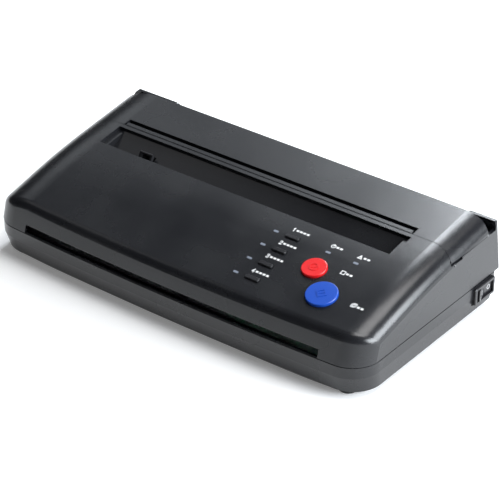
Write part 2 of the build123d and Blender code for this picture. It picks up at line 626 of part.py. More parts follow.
def hinge_arm(x):
    """Arm from the cover's underside to the knuckle on the hinge pin."""
    x0, x1 = x - HINGE_ARM_WIDTH / 2, x + HINGE_ARM_WIDTH / 2
    rear = COVER_REAR_Y - 0.4
    arm = slab_x([(rear - 13, 70), (rear, 70), (rear, HINGE_HEIGHT + 4.4), (HINGE_Y + 0.6, HINGE_HEIGHT + 3.8),
                  (HINGE_Y - 1.6, HINGE_HEIGHT - 3.4), (rear - 3.5, HINGE_HEIGHT + 0.4)], x0, x1)
    arm &= skin_block(0.6)
    arm += rod_x(HINGE_Y, HINGE_HEIGHT, HINGE_KNUCKLE_RADIUS, x0, x1)
    return arm - rod_x(HINGE_Y, HINGE_HEIGHT, HINGE_PIN_RADIUS + RUNNING_GAP, x0 - 1, x1 + 1)


def hinge_pins():
    reach = HINGE_ARM_WIDTH / 2 + HINGE_SIDE_GAP + HINGE_BRACKET
    pin = rod_x(HINGE_Y, HINGE_HEIGHT, HINGE_PIN_RADIUS, HINGE_ARM_X - reach, HINGE_ARM_X + reach)
    return group(pin, mirror(pin, about=Plane.YZ))


def lower_outline(z, inset, taper):
    """Plan of the lower case; taper runs from 0 at the band to 1 at the bottom."""
    face = plan_outline(SIDE - inset - taper * LOWER_TAPER_SIDE,
                        FRONT + inset + taper * LOWER_TAPER_FRONT,
                        REAR - REAR_STEP - inset - taper * LOWER_TAPER_REAR,
                        CORNER_RADIUS - inset, max(LOWER_CORNER_RADIUS - inset, 1.0))
    return (Pos(0, 0, z) * face).face()


def lower_solid(inset, floor):
    band_z = SEAM_HEIGHT - BAND_HEIGHT
    taper = (band_z - floor) / (band_z - FOOT_HEIGHT)
    body = loft([lower_outline(floor, inset, taper), lower_outline(band_z, inset, 0)], ruled=True)
    return body + extrude(lower_outline(band_z, inset, 0), amount=BAND_HEIGHT + inset)


def lower_case():
    outer = lower_solid(0, FOOT_HEIGHT)
    base = [edge for edge in outer.edges() if edge.center().Z < FOOT_HEIGHT + 0.01]
    case = chamfer(base, BASE_CHAMFER) - lower_solid(WALL, FLOOR_TOP)
    groove = extrude(lower_outline(SEAM_HEIGHT - SEAM_GROOVE, -1, 0), amount=SEAM_GROOVE)
    case -= groove - extrude(lower_outline(SEAM_HEIGHT - SEAM_GROOVE, SEAM_GROOVE, 0), amount=SEAM_GROOVE)
    switch_half = SWITCH_LENGTH / 2 - SWITCH_RIM
    case += block(SIDE - WALL, SIDE, SWITCH_Y - SWITCH_LENGTH / 2,
                  SWITCH_Y + SWITCH_LENGTH / 2, SWITCH_Z - SWITCH_HEIGHT / 2, SWITCH_Z + SWITCH_HEIGHT / 2)
    case -= block(SIDE - 2 * WALL, SIDE + 1, SWITCH_Y - switch_half, SWITCH_Y + switch_half,
                  SWITCH_Z - SWITCH_HEIGHT / 2 + SWITCH_RIM, SWITCH_Z + SWITCH_HEIGHT / 2 - SWITCH_RIM)
    case -= block(INLET_X - INLET_WIDTH / 2, INLET_X + INLET_WIDTH / 2, REAR - INLET_DEPTH, REAR + 1,
                  INLET_Z - INLET_HEIGHT / 2, INLET_Z + INLET_HEIGHT / 2)
    case += lower_bosses()
    for sign in (-1, 1):
        for x, y in CASE_SCREWS:
            case -= rod_z(sign * x, y, SCREW_RADIUS + SCREW_CLEARANCE, 0, BOSS_TOP + 1)
            case -= rod_z(sign * x, y, SCREW_HEAD_RADIUS + SCREW_CLEARANCE, 0, SCREW_SEAT)
        for y in (FOOT_FRONT_Y, FOOT_REAR_Y):
            case -= rod_z(sign * FOOT_X, y, FOOT_PEG_RADIUS, 0, FLOOR_TOP + 1)
    for k in range(VENT_COUNT):
        x = POWER_BOARD[0] + VENT_START + k * VENT_PITCH
        case -= block(x - VENT_WIDTH / 2, x + VENT_WIDTH / 2, POWER_BOARD[2], POWER_BOARD[3] - STANDOFF_INSET, 0,
                      FLOOR_TOP + 1)
    return case


def lower_bosses():
    """Screw bosses, board stand-offs, frame seats and the sensor's ribs on the floor."""
    floor = FLOOR_TOP - OVERLAP
    bosses = Part()
    for sign in (-1, 1):
        for x, y in CASE_SCREWS:
            bosses += rod_z(sign * x, y, BOSS_RADIUS, floor, BOSS_TOP)
        for y in FRAME_FEET:
            bosses += rod_z(sign * (FRAME_X - FRAME_FOOT / 2), y, FRAME_SEAT_RADIUS, floor, FRAME_FOOT_Z)
    for x0, x1, y0, y1 in (MAIN_BOARD, POWER_BOARD):
        for x in (x0 + STANDOFF_INSET, x1 - STANDOFF_INSET):
            for y in (y0 + STANDOFF_INSET, y1 - STANDOFF_INSET):
                bosses += rod_z(x, y, STANDOFF_RADIUS, floor, BOARD_Z)
    for x in (-SENSOR_RIB_X, 0, SENSOR_RIB_X):
        bosses += block(x - 1, x + 1, SCAN_Y - SENSOR_WIDTH / 2 - 1, SCAN_Y + SENSOR_WIDTH / 2 + 1,
                        floor, sensor_bottom())
    return bosses


def sensor_bottom():
    return sensor_top() - SENSOR_HEIGHT


def rubber_feet():
    feet = []
    for x in (-FOOT_X, FOOT_X):
        for y in (FOOT_FRONT_Y, FOOT_REAR_Y):
            pad = rod_z(x, y, FOOT_RADIUS, 0, FOOT_HEIGHT)
            pad = chamfer(pad.edges().group_by(Axis.Z)[0], FOOT_CHAMFER)
            feet.append(pad + rod_z(x, y, FOOT_PEG_RADIUS, FOOT_HEIGHT, FLOOR_TOP + 0.5))
    return group(*feet)


def case_screws():
    screws = []
    for sign in (-1, 1):
        for x, y in CASE_SCREWS:
            head = rod_z(sign * x, y, SCREW_HEAD_RADIUS, SCREW_SEAT - SCREW_HEAD, SCREW_SEAT)
            screws.append(head + rod_z(sign * x, y, SCREW_RADIUS, SCREW_SEAT, SCREW_SEAT + SCREW_LENGTH))
    return group(*screws)


# ---- document tray ----------------------------------------------------------------------------------
def tray_floor_z(y):
    """Top of the tray's sloping floor."""
    share = (y - TRAY_LOW_Y) / (RECESS_REAR_Y - TRAY_LOW_Y)
    return TRAY_LOW_HEIGHT + share * (skin_z(RECESS_REAR_Y) - WALL - TRAY_LOW_HEIGHT)


def tray_strip():
    """Flat strip between recess and thin slot, with a fine groove along its middle."""
    strip = skin_block(0) - skin_block(WALL + TRAY_WALL)
    strip &= block(-STRIP_HALF, STRIP_HALF, RECESS_REAR_Y, STRIP_REAR_Y, SEAM_HEIGHT, ABOVE)
    middle = (RECESS_REAR_Y + STRIP_REAR_Y) / 2
    groove = skin_block(0) - skin_block(STRIP_GROOVE)
    return strip - (groove & block(-STRIP_HALF, STRIP_HALF, middle - STRIP_GROOVE, middle + STRIP_GROOVE,
                                   SEAM_HEIGHT, ABOVE))


def tray_side(low, high):
    """Right cheek of the tray with the flange and the lug that stands on the side frame."""
    inner = RECESS_HALF - LEDGE
    outer = inner + TRAY_WALL
    side = slab_x([(TRAY_LOW_Y, low - TRAY_WALL), (RECESS_REAR_Y, high - 2 * TRAY_WALL), (RECESS_REAR_Y, ABOVE),
                   (TRAY_LOW_Y, ABOVE)], inner, outer)
    flange = block(inner, TRAY_FLANGE_X, RECESS_FRONT_Y - TRAY_FLANGE, RECESS_REAR_Y, SEAM_HEIGHT, ABOVE)
    side += flange - skin_block(WALL + TRAY_WALL)
    return side + block(FRAME_X - 2, TRAY_FLANGE_X, TRAY_LUG_Y - TRAY_LUG, TRAY_LUG_Y + TRAY_LUG, FRAME_TRAY_SEAT,
                        ABOVE)


def tray_guide():
    """Wall behind the strip that leads down from the thin slot."""
    top = skin_z(STRIP_REAR_Y) - WALL
    front_y = STRIP_REAR_Y - TRAY_WALL
    return slab_x([(front_y, top), (STRIP_REAR_Y, top), (STRIP_REAR_Y, GUIDE_BEND_Z), (GUIDE_END_Y, GUIDE_END_Z),
                   (GUIDE_END_Y - TRAY_WALL, GUIDE_END_Z), (front_y, GUIDE_BEND_Z)], -STRIP_HALF, STRIP_HALF)


def document_tray():
    outer = RECESS_HALF - LEDGE + TRAY_WALL
    rear_y = RECESS_REAR_Y + TRAY_WALL
    low, high = tray_floor_z(TRAY_LOW_Y), tray_floor_z(rear_y)
    tray = tray_strip() + slab_x([(TRAY_LOW_Y, low), (rear_y, high), (rear_y, high - TRAY_WALL),
                                  (TRAY_LOW_Y, low - TRAY_WALL)], -outer, outer)
    below_panel = skin_block(WALL) & block(-SIDE, SIDE, TRAY_LOW_Y, RECESS_REAR_Y, SEAM_HEIGHT, ABOVE)
    tray += mirrored(tray_side(low, high)) & below_panel
    tray += tray_guide()
    tray -= block(DOC_LEVER_X - LEVER_SLOT, DOC_LEVER_X + LEVER_SLOT, DOC_LEVER_Y,
                  DOC_LEVER_REACH_Y + DOC_LEVER_ROOM, TRAY_LOW_HEIGHT - TRAY_WALL, KNEE_HEIGHT)
    return tray + doc_lever_bracket()


def doc_lever_bracket():
    """Two lugs below the tray with the pin that carries the document sensor lever."""
    lugs = Part()
    top = tray_floor_z(DOC_LEVER_Y) - OVERLAP
    for side in (-1, 1):
        x = DOC_LEVER_X + side * (LEVER_SLOT + TRAY_WALL / 2)
        lugs += block(x - TRAY_WALL / 2, x + TRAY_WALL / 2, DOC_LEVER_Y - LEVER_LUG_RADIUS,
                      DOC_LEVER_Y + LEVER_LUG_RADIUS + 0.5, DOC_LEVER_Z, top)
        lugs += rod_x(DOC_LEVER_Y, DOC_LEVER_Z, LEVER_LUG_RADIUS, x - TRAY_WALL / 2, x + TRAY_WALL / 2)
    reach = LEVER_SLOT + TRAY_WALL
    return lugs + rod_x(DOC_LEVER_Y, DOC_LEVER_Z, LEVER_PIN_RADIUS, DOC_LEVER_X - reach, DOC_LEVER_X + reach)


def document_sensor_lever():
    """Two arms joined at the top by a round bar that lies in the paper's way."""
    y, z = DOC_LEVER_REACH_Y, DOC_LEVER_REACH_Z
    arm = [(DOC_LEVER_Y - 0.6, DOC_LEVER_Z), (y - LEVER_TIP, z), (y + LEVER_TIP, z), (y + LEVER_TIP, z - 1.5),
           (DOC_LEVER_Y + 1.4, DOC_LEVER_Z)]
    half = LEVER_SLOT - LEVER_SIDE_GAP
    lever = rod_x(y, z, LEVER_TIP, DOC_LEVER_X - half, DOC_LEVER_X + half)
    lever += rod_x(DOC_LEVER_Y, DOC_LEVER_Z, LEVER_HUB_RADIUS, DOC_LEVER_X - half, DOC_LEVER_X + half)
    for x in (DOC_LEVER_X - half, DOC_LEVER_X + half - LEVER_THICKNESS):
        lever += slab_x(arm, x, x + LEVER_THICKNESS)
    bore = rod_x(DOC_LEVER_Y, DOC_LEVER_Z, LEVER_PIN_RADIUS + RUNNING_GAP, DOC_LEVER_X - half - 1,
                 DOC_LEVER_X + half + 1)
    return lever - bore


# ---- control panel ----------------------------------------------------------------------------------
def mode_spots(x):
    return [(x, MODE_FIRST_Y - k * MODE_PITCH) for k in range(MODE_COUNT)]


def lamp_spots():
    return mode_spots(MODE_LAMP_X) + [(POWER_LAMP_X, STATUS_LAMP_Y), (ERROR_LAMP_X, STATUS_LAMP_Y)]


def board_plane(depth):
    """Plane parallel to the front slope, depth below the skin; the key board lies in it."""
    return skin_plane(0, KEY_BOARD_FRONT, depth)


def board_depth(x, y):
    """Distance from the skin to the key board, along the skin's normal at x, y."""
    board, spot = board_plane(KEY_BOARD_DEPTH), skin_plane(x, y)
    return (spot.origin - board.origin).dot(board.z_dir) / spot.z_dir.dot(board.z_dir)


def key_hole(x, y, face):
    plane = skin_plane(x, y, WALL + 1)
    return extrude(plane * face, amount=WALL + 3)


def bar_face(length, width):
    return RectangleRounded(length, width, width * 0.3)


def control_holes():
    """Openings in the panel for the keys, buttons and lamps."""
    grow = 2 * BUTTON_CLEARANCE
    holes = key_hole(STOP_X, STOP_Y, Circle(STOP_RADIUS + BUTTON_CLEARANCE))
    holes += key_hole(COPY_X, COPY_Y, Circle(COPY_RADIUS + BUTTON_CLEARANCE))
    for x, y in mode_spots(MODE_KEY_X):
        holes += key_hole(x, y, bar_face(MODE_KEY_LENGTH + grow, MODE_KEY_WIDTH + grow))
    for x, y in lamp_spots():
        holes += key_hole(x, y, bar_face(LAMP_LENGTH + 2 * LAMP_CLEARANCE, LAMP_WIDTH + 2 * LAMP_CLEARANCE))
    return holes


def push_key(x, y, cap, flange, proud, soften):
    """A key square to the panel: cap above, flange below the panel and stem into its switch."""
    under = WALL + FLANGE_GAP
    plane = skin_plane(x, y, under)
    body = extrude(plane * cap, amount=under + proud)
    edges = [edge for edge in body.edges()
             if (edge.center() - plane.origin).dot(plane.z_dir) > under + proud - 0.01]
    body = soften(edges)
    body += extrude(plane * flange, amount=-BUTTON_FLANGE)
    stem_end = board_depth(x, y) - TACT_HEIGHT + STEM_ENTRY
    return body + extrude(plane * Circle(STEM_RADIUS), amount=under - stem_end)


def mode_key(x, y):
    cap = bar_face(MODE_KEY_LENGTH, MODE_KEY_WIDTH)
    flange = bar_face(MODE_KEY_LENGTH + 2 * BUTTON_FLANGE, MODE_KEY_WIDTH + 2 * BUTTON_FLANGE)
    return push_key(x, y, cap, flange, MODE_KEY_PROUD, lambda edges: chamfer(edges, KEY_BEVEL))


def round_button(x, y, radius):
    return push_key(x, y, Circle(radius), Circle(radius + BUTTON_FLANGE), BUTTON_PROUD,
                    lambda edges: fillet(edges, BUTTON_ROUND))


def stop_button():
    """Button with a raised ring and slanting bar."""
    mark = Circle(SYMBOL_SIZE) - Circle(SYMBOL_SIZE - SYMBOL_LINE)
    mark += Rot(0, 0, SYMBOL_TILT) * Rectangle(2 * SYMBOL_SIZE - SYMBOL_LINE, SYMBOL_LINE)
    return round_button(STOP_X, STOP_Y, STOP_RADIUS) + raised(STOP_X, STOP_Y, mark)


def copy_button():
    """Button with a raised diamond and a bar across it."""
    side = sqrt(2) * SYMBOL_SIZE * COPY_RADIUS / STOP_RADIUS
    room = side - 2 * SYMBOL_LINE
    mark = Rot(0, 0, 45) * (Rectangle(side, side) - Rectangle(room, room))
    mark += Rot(0, 0, SYMBOL_TILT) * Rectangle(side - SYMBOL_LINE, SYMBOL_LINE)
    return round_button(COPY_X, COPY_Y, COPY_RADIUS) + raised(COPY_X, COPY_Y, mark)


def raised(x, y, mark):
    """A low raised symbol on a button."""
    plane = skin_plane(x, y).offset(BUTTON_PROUD - SYMBOL_ROOT)
    return extrude(plane * mark, amount=SYMBOL_ROOT + SYMBOL_HEIGHT)


def key_board():
    plane = board_plane(KEY_BOARD_DEPTH + BOARD_THICKNESS)
    run = (KEY_BOARD_REAR - KEY_BOARD_FRONT) / cos(radians(PANEL_SLOPE))
    width = KEY_BOARD_RIGHT - KEY_BOARD_LEFT
    face = Pos((KEY_BOARD_LEFT + KEY_BOARD_RIGHT) / 2, run / 2) * Rectangle(width, run)
    return extrude(plane * face, amount=BOARD_THICKNESS)


def board_posts():
    """Posts from the panel down to the corners of the key board."""
    posts = Part()
    plane = board_plane(KEY_BOARD_DEPTH)
    run = (KEY_BOARD_REAR - KEY_BOARD_FRONT) / cos(radians(PANEL_SLOPE))
    for x in (KEY_BOARD_LEFT + POST_INSET, KEY_BOARD_RIGHT - POST_INSET):
        for along in (POST_INSET, run - POST_INSET):
            posts += extrude(plane * Pos(x, along) * Circle(KEY_POST_RADIUS), amount=KEY_BOARD_DEPTH - WALL / 2)
    return posts & skin_block(WALL / 2)


def tact_switches():
    spots = mode_spots(MODE_KEY_X) + [(STOP_X, STOP_Y), (COPY_X, COPY_Y)]
    below = extrude(board_plane(KEY_BOARD_DEPTH) * Rectangle(CASE_WIDTH, CASE_WIDTH), amount=-KEY_BOARD_DEPTH)
    switches = []
    for x, y in spots:
        plane = skin_plane(x, y, board_depth(x, y))
        body = extrude(plane * Rectangle(TACT_SIZE, TACT_SIZE), amount=TACT_HEIGHT)
        body += extrude(plane * Rectangle(TACT_SIZE, TACT_SIZE), amount=-TACT_SINK)
        bore = extrude(plane.offset(TACT_HEIGHT) * Circle(STEM_RADIUS + RUNNING_GAP), amount=-TACT_BORE)
        switches.append(body - bore - below)
    return group(*switches)


def light_pipes(spots):
    """Clear bars from the key board up through the panel."""
    below = extrude(board_plane(KEY_BOARD_DEPTH) * Rectangle(CASE_WIDTH, CASE_WIDTH), amount=-KEY_BOARD_DEPTH)
    pipes = []
    for x, y in spots:
        depth = board_depth(x, y)
        plane = skin_plane(x, y, depth + TACT_SINK)
        pipe = extrude(plane * bar_face(LAMP_LENGTH, LAMP_WIDTH), amount=depth + TACT_SINK + LAMP_PROUD)
        pipes.append(pipe - below)
    return group(*pipes)


# ---- gears ------------------------------------------------------------------------------------------
def involute(angle):
    return tan(angle) - angle


def gear_points(teeth, phase):
    """Outline of a spur gear, one straight-sided step per part of each flank."""
    pitch = teeth * MODULE / 2
    base = pitch * cos(radians(PRESSURE_ANGLE))
    half_pitch = (pi * MODULE / 2 - BACKLASH) / 2 / pitch
    flank = []
    for radius in (pitch - DEDENDUM * MODULE, pitch, pitch + ADDENDUM * MODULE):
        swing = involute(acos(min(1.0, base / radius)))
        flank.append((radius, half_pitch + involute(radians(PRESSURE_ANGLE)) - swing))
    points = []
    for tooth in range(teeth):
        middle = phase + tooth * 2 * pi / teeth
        for radius, half in flank:
            points.append((radius * cos(middle - half), radius * sin(middle - half)))
        for radius, half in reversed(flank):
            points.append((radius * cos(middle + half), radius * sin(middle + half)))
    return points


def gear(teeth, centre, phase, side, bore):
    """Spur gear outside a side frame; side is 1 on the right, -1 on the left."""
    y, z = centre
    wheel = slab_x([(y + a, z + b) for a, b in gear_points(teeth, phase)], GEAR_X, GEAR_X + GEAR_WIDTH)
    wheel += rod_x(y, z, GEAR_HUB_RADIUS, GEAR_HUB_X, GEAR_X + GEAR_WIDTH)
    if teeth > FEED_TEETH:
        ring = rod_x(y, z, teeth * MODULE / 2 - GEAR_RIM, GEAR_X + GEAR_WIDTH - GEAR_DISH, GEAR_X + GEAR_WIDTH + 1)
        wheel -= ring - rod_x(y, z, GEAR_HUB_RADIUS, GEAR_X, GEAR_X + GEAR_WIDTH + 1)
    wheel -= rod_x(y, z, bore, GEAR_HUB_X - 2, GEAR_X + GEAR_WIDTH + 2)
    return wheel if side > 0 else mirror(wheel, about=Plane.YZ)


def mesh_centre(first, second, first_distance, second_distance, upper):
    """Centre of a gear that meshes with two others; upper picks the higher solution."""
    (y0, z0), (y1, z1) = first, second
    span = hypot(y1 - y0, z1 - z0)
    along = (first_distance ** 2 - second_distance ** 2 + span ** 2) / (2 * span)
    across = sqrt(first_distance ** 2 - along ** 2)
    uy, uz = (y1 - y0) / span, (z1 - z0) / span
    choices = [(y0 + along * uy - s * across * uz, z0 + along * uz + s * across * uy) for s in (-1, 1)]
    return max(choices, key=lambda c: c[1]) if upper else min(choices, key=lambda c: c[1])


def spacing(teeth_a, teeth_b):
    return (teeth_a + teeth_b) * MODULE / 2


def mesh_phase(centre_a, phase_a, teeth_a, centre_b, teeth_b):
    """Phase that puts a tooth gap of gear b where gear a has a tooth."""
    direction = atan2(centre_b[1] - centre_a[1], centre_b[0] - centre_a[0])
    share = 0.5 - (direction - phase_a) * teeth_a / (2 * pi)
    return direction + pi - share * 2 * pi / teeth_b


PLATEN = (PLATEN_Y, PLATEN_Z)
FEED = (FEED_Y, FEED_Z)
SCAN = (SCAN_Y, SCAN_Z)
MOTOR = (MOTOR_Y, MOTOR_Z)
IDLER_REACH = spacing(IDLER_TEETH, PINION_TEETH)
RIGHT_IDLER = mesh_centre(PLATEN, MOTOR, spacing(PLATEN_TEETH, IDLER_TEETH), IDLER_REACH, False)
LEFT_IDLER = mesh_centre(FEED, MOTOR, spacing(FEED_TEETH, IDLER_TEETH), IDLER_REACH, True)
LINK = mesh_centre(FEED, SCAN, spacing(FEED_TEETH, LINK_TEETH), spacing(LINK_TEETH, SCAN_TEETH), False)
RIGHT_IDLER_PHASE = mesh_phase(PLATEN, 0.0, PLATEN_TEETH, RIGHT_IDLER, IDLER_TEETH)
RIGHT_PINION_PHASE = mesh_phase(RIGHT_IDLER, RIGHT_IDLER_PHASE, IDLER_TEETH, MOTOR, PINION_TEETH)
LEFT_IDLER_PHASE = mesh_phase(FEED, 0.0, FEED_TEETH, LEFT_IDLER, IDLER_TEETH)
LEFT_PINION_PHASE = mesh_phase(LEFT_IDLER, LEFT_IDLER_PHASE, IDLER_TEETH, MOTOR, PINION_TEETH)
LINK_PHASE = mesh_phase(FEED, 0.0, FEED_TEETH, LINK, LINK_TEETH)
SCAN_PHASE = mesh_phase(LINK, LINK_PHASE, LINK_TEETH, SCAN, SCAN_TEETH)


def pinion(phase, side):
    """Motor pinion on its shaft."""
    shaft = rod_x(MOTOR_Y, MOTOR_Z, MOTOR_SHAFT_RADIUS, FRAME_X - MOTOR_BEARING, SHAFT_END)
    wheel = gear(PINION_TEETH, MOTOR, phase, 1, MOTOR_SHAFT_RADIUS / 2) + shaft
    return wheel if side > 0 else mirror(wheel, about=Plane.YZ)


def gear_studs():
    """Studs riveted into the side frames, with a shoulder and a clip at the end."""
    studs = []
    for side, (y, z) in ((1, RIGHT_IDLER), (-1, LEFT_IDLER), (-1, LINK)):
        stud = rod_x(y, z, STUD_RADIUS, FRAME_X, SHAFT_END)
        stud += rod_x(y, z, STUD_RADIUS + STUD_SHOULDER, FRAME_X + FRAME_THICKNESS, GEAR_HUB_X - RUNNING_GAP)
        stud += rod_x(y, z, STUD_RADIUS + STUD_SHOULDER, GEAR_X + GEAR_WIDTH + RUNNING_GAP, SHAFT_END - 0.2)
        studs.append(stud if side > 0 else mirror(stud, about=Plane.YZ))
    return group(*studs)


# ---- side frames and rollers ------------------------------------------------------------------------
def frame_outline():
    front, rear = FRAME_FRONT_Y, FRAME_REAR_Y
    return [(front, FRAME_FOOT_Z), (rear, FRAME_FOOT_Z), (rear, FRAME_TRAY_SEAT), (rear - 4, SPRING_BAR_Z),
            (STRIP_REAR_Y + 3, SPRING_BAR_Z), (TRAY_LUG_Y + 8, FRAME_TRAY_SEAT), (PAD_REAR_Y + 7, FRAME_TRAY_SEAT),
            (PAD_REAR_Y + 5, PAD_SEAT), (PAD_FRONT_Y - 4, PAD_SEAT), (front, PAD_SEAT - 5)]


def side_frame(side):
    """Pressed steel side frame with its bearing holes, motor window and foot tabs."""
    outside = FRAME_X + FRAME_THICKNESS
    frame = slab_x(frame_outline(), FRAME_X, outside)
    frame -= block(FRAME_X - 1, outside + 1, FRAME_FEET[0] + FRAME_FOOT_WIDTH, FRAME_FEET[1] - FRAME_FOOT_WIDTH,
                   0, FRAME_FOOT_Z + 2)
    for y in FRAME_FEET:
        frame += block(FRAME_X - FRAME_FOOT, outside, y - FRAME_FOOT_WIDTH / 2, y + FRAME_FOOT_WIDTH / 2,
                       FRAME_FOOT_Z, FRAME_FOOT_Z + FRAME_THICKNESS)
    for y, z in (PLATEN, FEED, SCAN):
        frame -= rod_x(y, z, BUSH_RADIUS, FRAME_X - 1, outside + 1)
    frame -= rod_x(MOTOR_Y, MOTOR_Z, MOTOR_BOSS_RADIUS, FRAME_X - 1, outside + 1)
    frame -= rod_x(HEAD_PIVOT_Y, HEAD_PIVOT_Z, HEAD_PIVOT_RADIUS + RUNNING_GAP, FRAME_X - 1, outside + 1)
    studs = [RIGHT_IDLER] if side > 0 else [LEFT_IDLER, LINK]
    for y, z in studs:
        frame -= rod_x(y, z, STUD_RADIUS, FRAME_X - 1, outside + 1)
    for y, z in FRAME_WINDOWS:
        frame -= rod_x(y, z, FRAME_WINDOW_RADIUS, FRAME_X - 1, outside + 1)
    return frame if side > 0 else mirror(frame, about=Plane.YZ)


def bushes():
    """Flanged plastic bushes in the side frames."""
    rings = []
    for side in (-1, 1):
        for y, z in (PLATEN, FEED, SCAN):
            ring = rod_x(y, z, BUSH_RADIUS, FRAME_X, FRAME_X + FRAME_THICKNESS)
            ring += rod_x(y, z, BUSH_FLANGE, FRAME_X - 1.0, FRAME_X)
            ring -= rod_x(y, z, SHAFT_RADIUS + RUNNING_GAP, FRAME_X - 2, FRAME_X + 3)
            rings.append(ring if side > 0 else mirror(ring, about=Plane.YZ))
    return group(*rings)


def shaft(centre, gear_side):
    """Steel shaft with a clip beyond the frame on its plain end."""
    y, z = centre
    rod = rod_x(y, z, SHAFT_RADIUS, -PLAIN_END, SHAFT_END)
    rod += rod_x(y, z, SHAFT_RADIUS + 1.5, -PLAIN_END + 0.6, -PLAIN_END + 1.4)
    rod = chamfer(rod.edges().filter_by(GeomType.CIRCLE).group_by(Axis.X)[0], 0.4)
    return rod if gear_side > 0 else mirror(rod, about=Plane.YZ)


def sleeve(centre, radius, x0, x1):
    y, z = centre
    return rod_x(y, z, radius, x0, x1) - rod_x(y, z, SHAFT_RADIUS, x0 - 1, x1 + 1)


def feed_sleeves():
    tyres = []
    for side in (-1, 1):
        x = side * FEED_SLEEVE_X
        tyres.append(sleeve(FEED, FEED_RADIUS, x - FEED_SLEEVE / 2, x + FEED_SLEEVE / 2))
    return group(*tyres)


def motor(side):
    """Stepper motor: can, flange with two ears and front boss."""
    can = rod_x(MOTOR_Y, MOTOR_Z, MOTOR_RADIUS, FRAME_X - MOTOR_LENGTH, FRAME_X)
    ears = SlotCenterToCenter(MOTOR_EAR_PITCH, MOTOR_EAR_WIDTH)
    can += extrude(Plane.YZ.offset(FRAME_X - 1) * Pos(MOTOR_Y, MOTOR_Z) * Rot(0, 0, MOTOR_EAR_TILT) * ears,
                   amount=1)
    can += rod_x(MOTOR_Y, MOTOR_Z, MOTOR_BOSS_RADIUS, FRAME_X, FRAME_X + FRAME_THICKNESS)
    can -= rod_x(MOTOR_Y, MOTOR_Z, MOTOR_SHAFT_RADIUS + RUNNING_GAP, FRAME_X - MOTOR_BEARING - 0.2, FRAME_X + 4)
    can += block(FRAME_X - MOTOR_LENGTH + 3, FRAME_X - 3, MOTOR_Y - MOTOR_RADIUS - 3, MOTOR_Y - MOTOR_RADIUS + 3,
                 MOTOR_Z - MOTOR_PLUG / 2, MOTOR_Z + MOTOR_PLUG / 2)
    return can if side > 0 else mirror(can, about=Plane.YZ)


# ---- paper guides, sensor and separation pad --------------------------------------------------------
def sheet(points, thickness, x0, x1):
    """Bent sheet whose upper side follows the given YZ points."""
    lower = [(y, z - thickness) for y, z in reversed(points)]
    return slab_x(points + lower, x0, x1)


def guide_rib_x():
    return -GUIDE_RIB_X, 0, GUIDE_RIB_X


def front_guide():
    """Bent sheet from the image sensor down to the front slot, on ribs that stand on the floor."""
    top, end = sensor_top(), SCAN_Y - SENSOR_WIDTH / 2 - GUIDE_EDGE
    guide = sheet([(FRONT_GUIDE_Y, FRONT_GUIDE_Z), (end, top - GUIDE_STEP)], GUIDE_THICKNESS, -FRAME_X, FRAME_X)
    start = (FRONT_GUIDE_Y + end) / 2
    for x in guide_rib_x():
        guide += slab_x([(start, FLOOR_TOP), (end - 1, FLOOR_TOP), (end - 1, top - GUIDE_THICKNESS),
                         (start, (FRONT_GUIDE_Z + top - GUIDE_STEP) / 2 - GUIDE_THICKNESS / 2)],
                        x - GUIDE_RIB / 2, x + GUIDE_RIB / 2)
    return guide


def rear_guide():
    """Sheet from the feed roller down to the image sensor, on ribs that stand on the floor."""
    front_y, front_z = SCAN_Y + SENSOR_WIDTH / 2 + GUIDE_EDGE, sensor_top() - GUIDE_EDGE
    rear_y, rear_z = FEED_Y - FEED_RADIUS - GUIDE_FEED_GAP, FEED_Z + GUIDE_FEED_RISE
    guide = sheet([(front_y, front_z), (rear_y, rear_z)], GUIDE_THICKNESS, -FRAME_X, FRAME_X)
    slope = (rear_z - front_z) / (rear_y - front_y)
    rib_top = front_z + slope - GUIDE_THICKNESS / 2
    start, end = front_y + 1, front_y + 1 + REAR_RIB
    for x in guide_rib_x():
        guide += slab_x([(start, FLOOR_TOP), (end, FLOOR_TOP), (end, rib_top + slope * REAR_RIB),
                         (start, rib_top)], x - GUIDE_RIB / 2, x + GUIDE_RIB / 2)
    return guide


def guide_sheets():
    return group(front_guide(), rear_guide())


def sensor_top():
    return SCAN_Z - SCAN_RADIUS - PAPER_GAP


def image_sensor():
    """Sensor bar with a groove below its glass."""
    half = SENSOR_WIDTH / 2
    body = block(-SENSOR_HALF, SENSOR_HALF, SCAN_Y - half, SCAN_Y + half, sensor_bottom(), sensor_top())
    rim = 2 * SENSOR_FRAME
    body -= block(-SENSOR_HALF + rim, SENSOR_HALF - rim, SCAN_Y - rim, SCAN_Y + rim, sensor_top() - SENSOR_ROOM,
                  sensor_top())
    return body - sensor_glass()


def sensor_glass():
    half_x, half_y = SENSOR_HALF - SENSOR_FRAME, SENSOR_WIDTH / 2 - SENSOR_FRAME
    return block(-half_x, half_x, SCAN_Y - half_y, SCAN_Y + half_y, sensor_top() - GLASS_THICKNESS, sensor_top())


def pad_holder():
    """Cross bar above the feed roller, resting on both side frames."""
    reach = FRAME_X + FRAME_THICKNESS
    bar = block(-reach, reach, PAD_FRONT_Y, PAD_REAR_Y, PAD_SEAT, PAD_SEAT + PAD_BAR)
    return bar + mirrored(block(FRAME_X - 2, FRAME_X, PAD_FRONT_Y, PAD_REAR_Y, PAD_SEAT - PAD_TAB, PAD_SEAT))


def separation_pad():
    bottom = FEED_Z + FEED_RADIUS + PAPER_GAP
    pads = []
    for side in (-1, 1):
        x = side * FEED_SLEEVE_X
        pads.append(block(x - FEED_SLEEVE / 2, x + FEED_SLEEVE / 2, FEED_Y - PAD_LENGTH / 2,
                          FEED_Y + PAD_LENGTH / 2, bottom, PAD_SEAT))
    return group(*pads)


def inlet_rear_y():
    """Rear end of the inlet guide, just inside the rear wall's sill."""
    return REAR - (INLET_SILL - SEAM_HEIGHT) * tan(radians(REAR_LEAN)) - WALL - 0.3


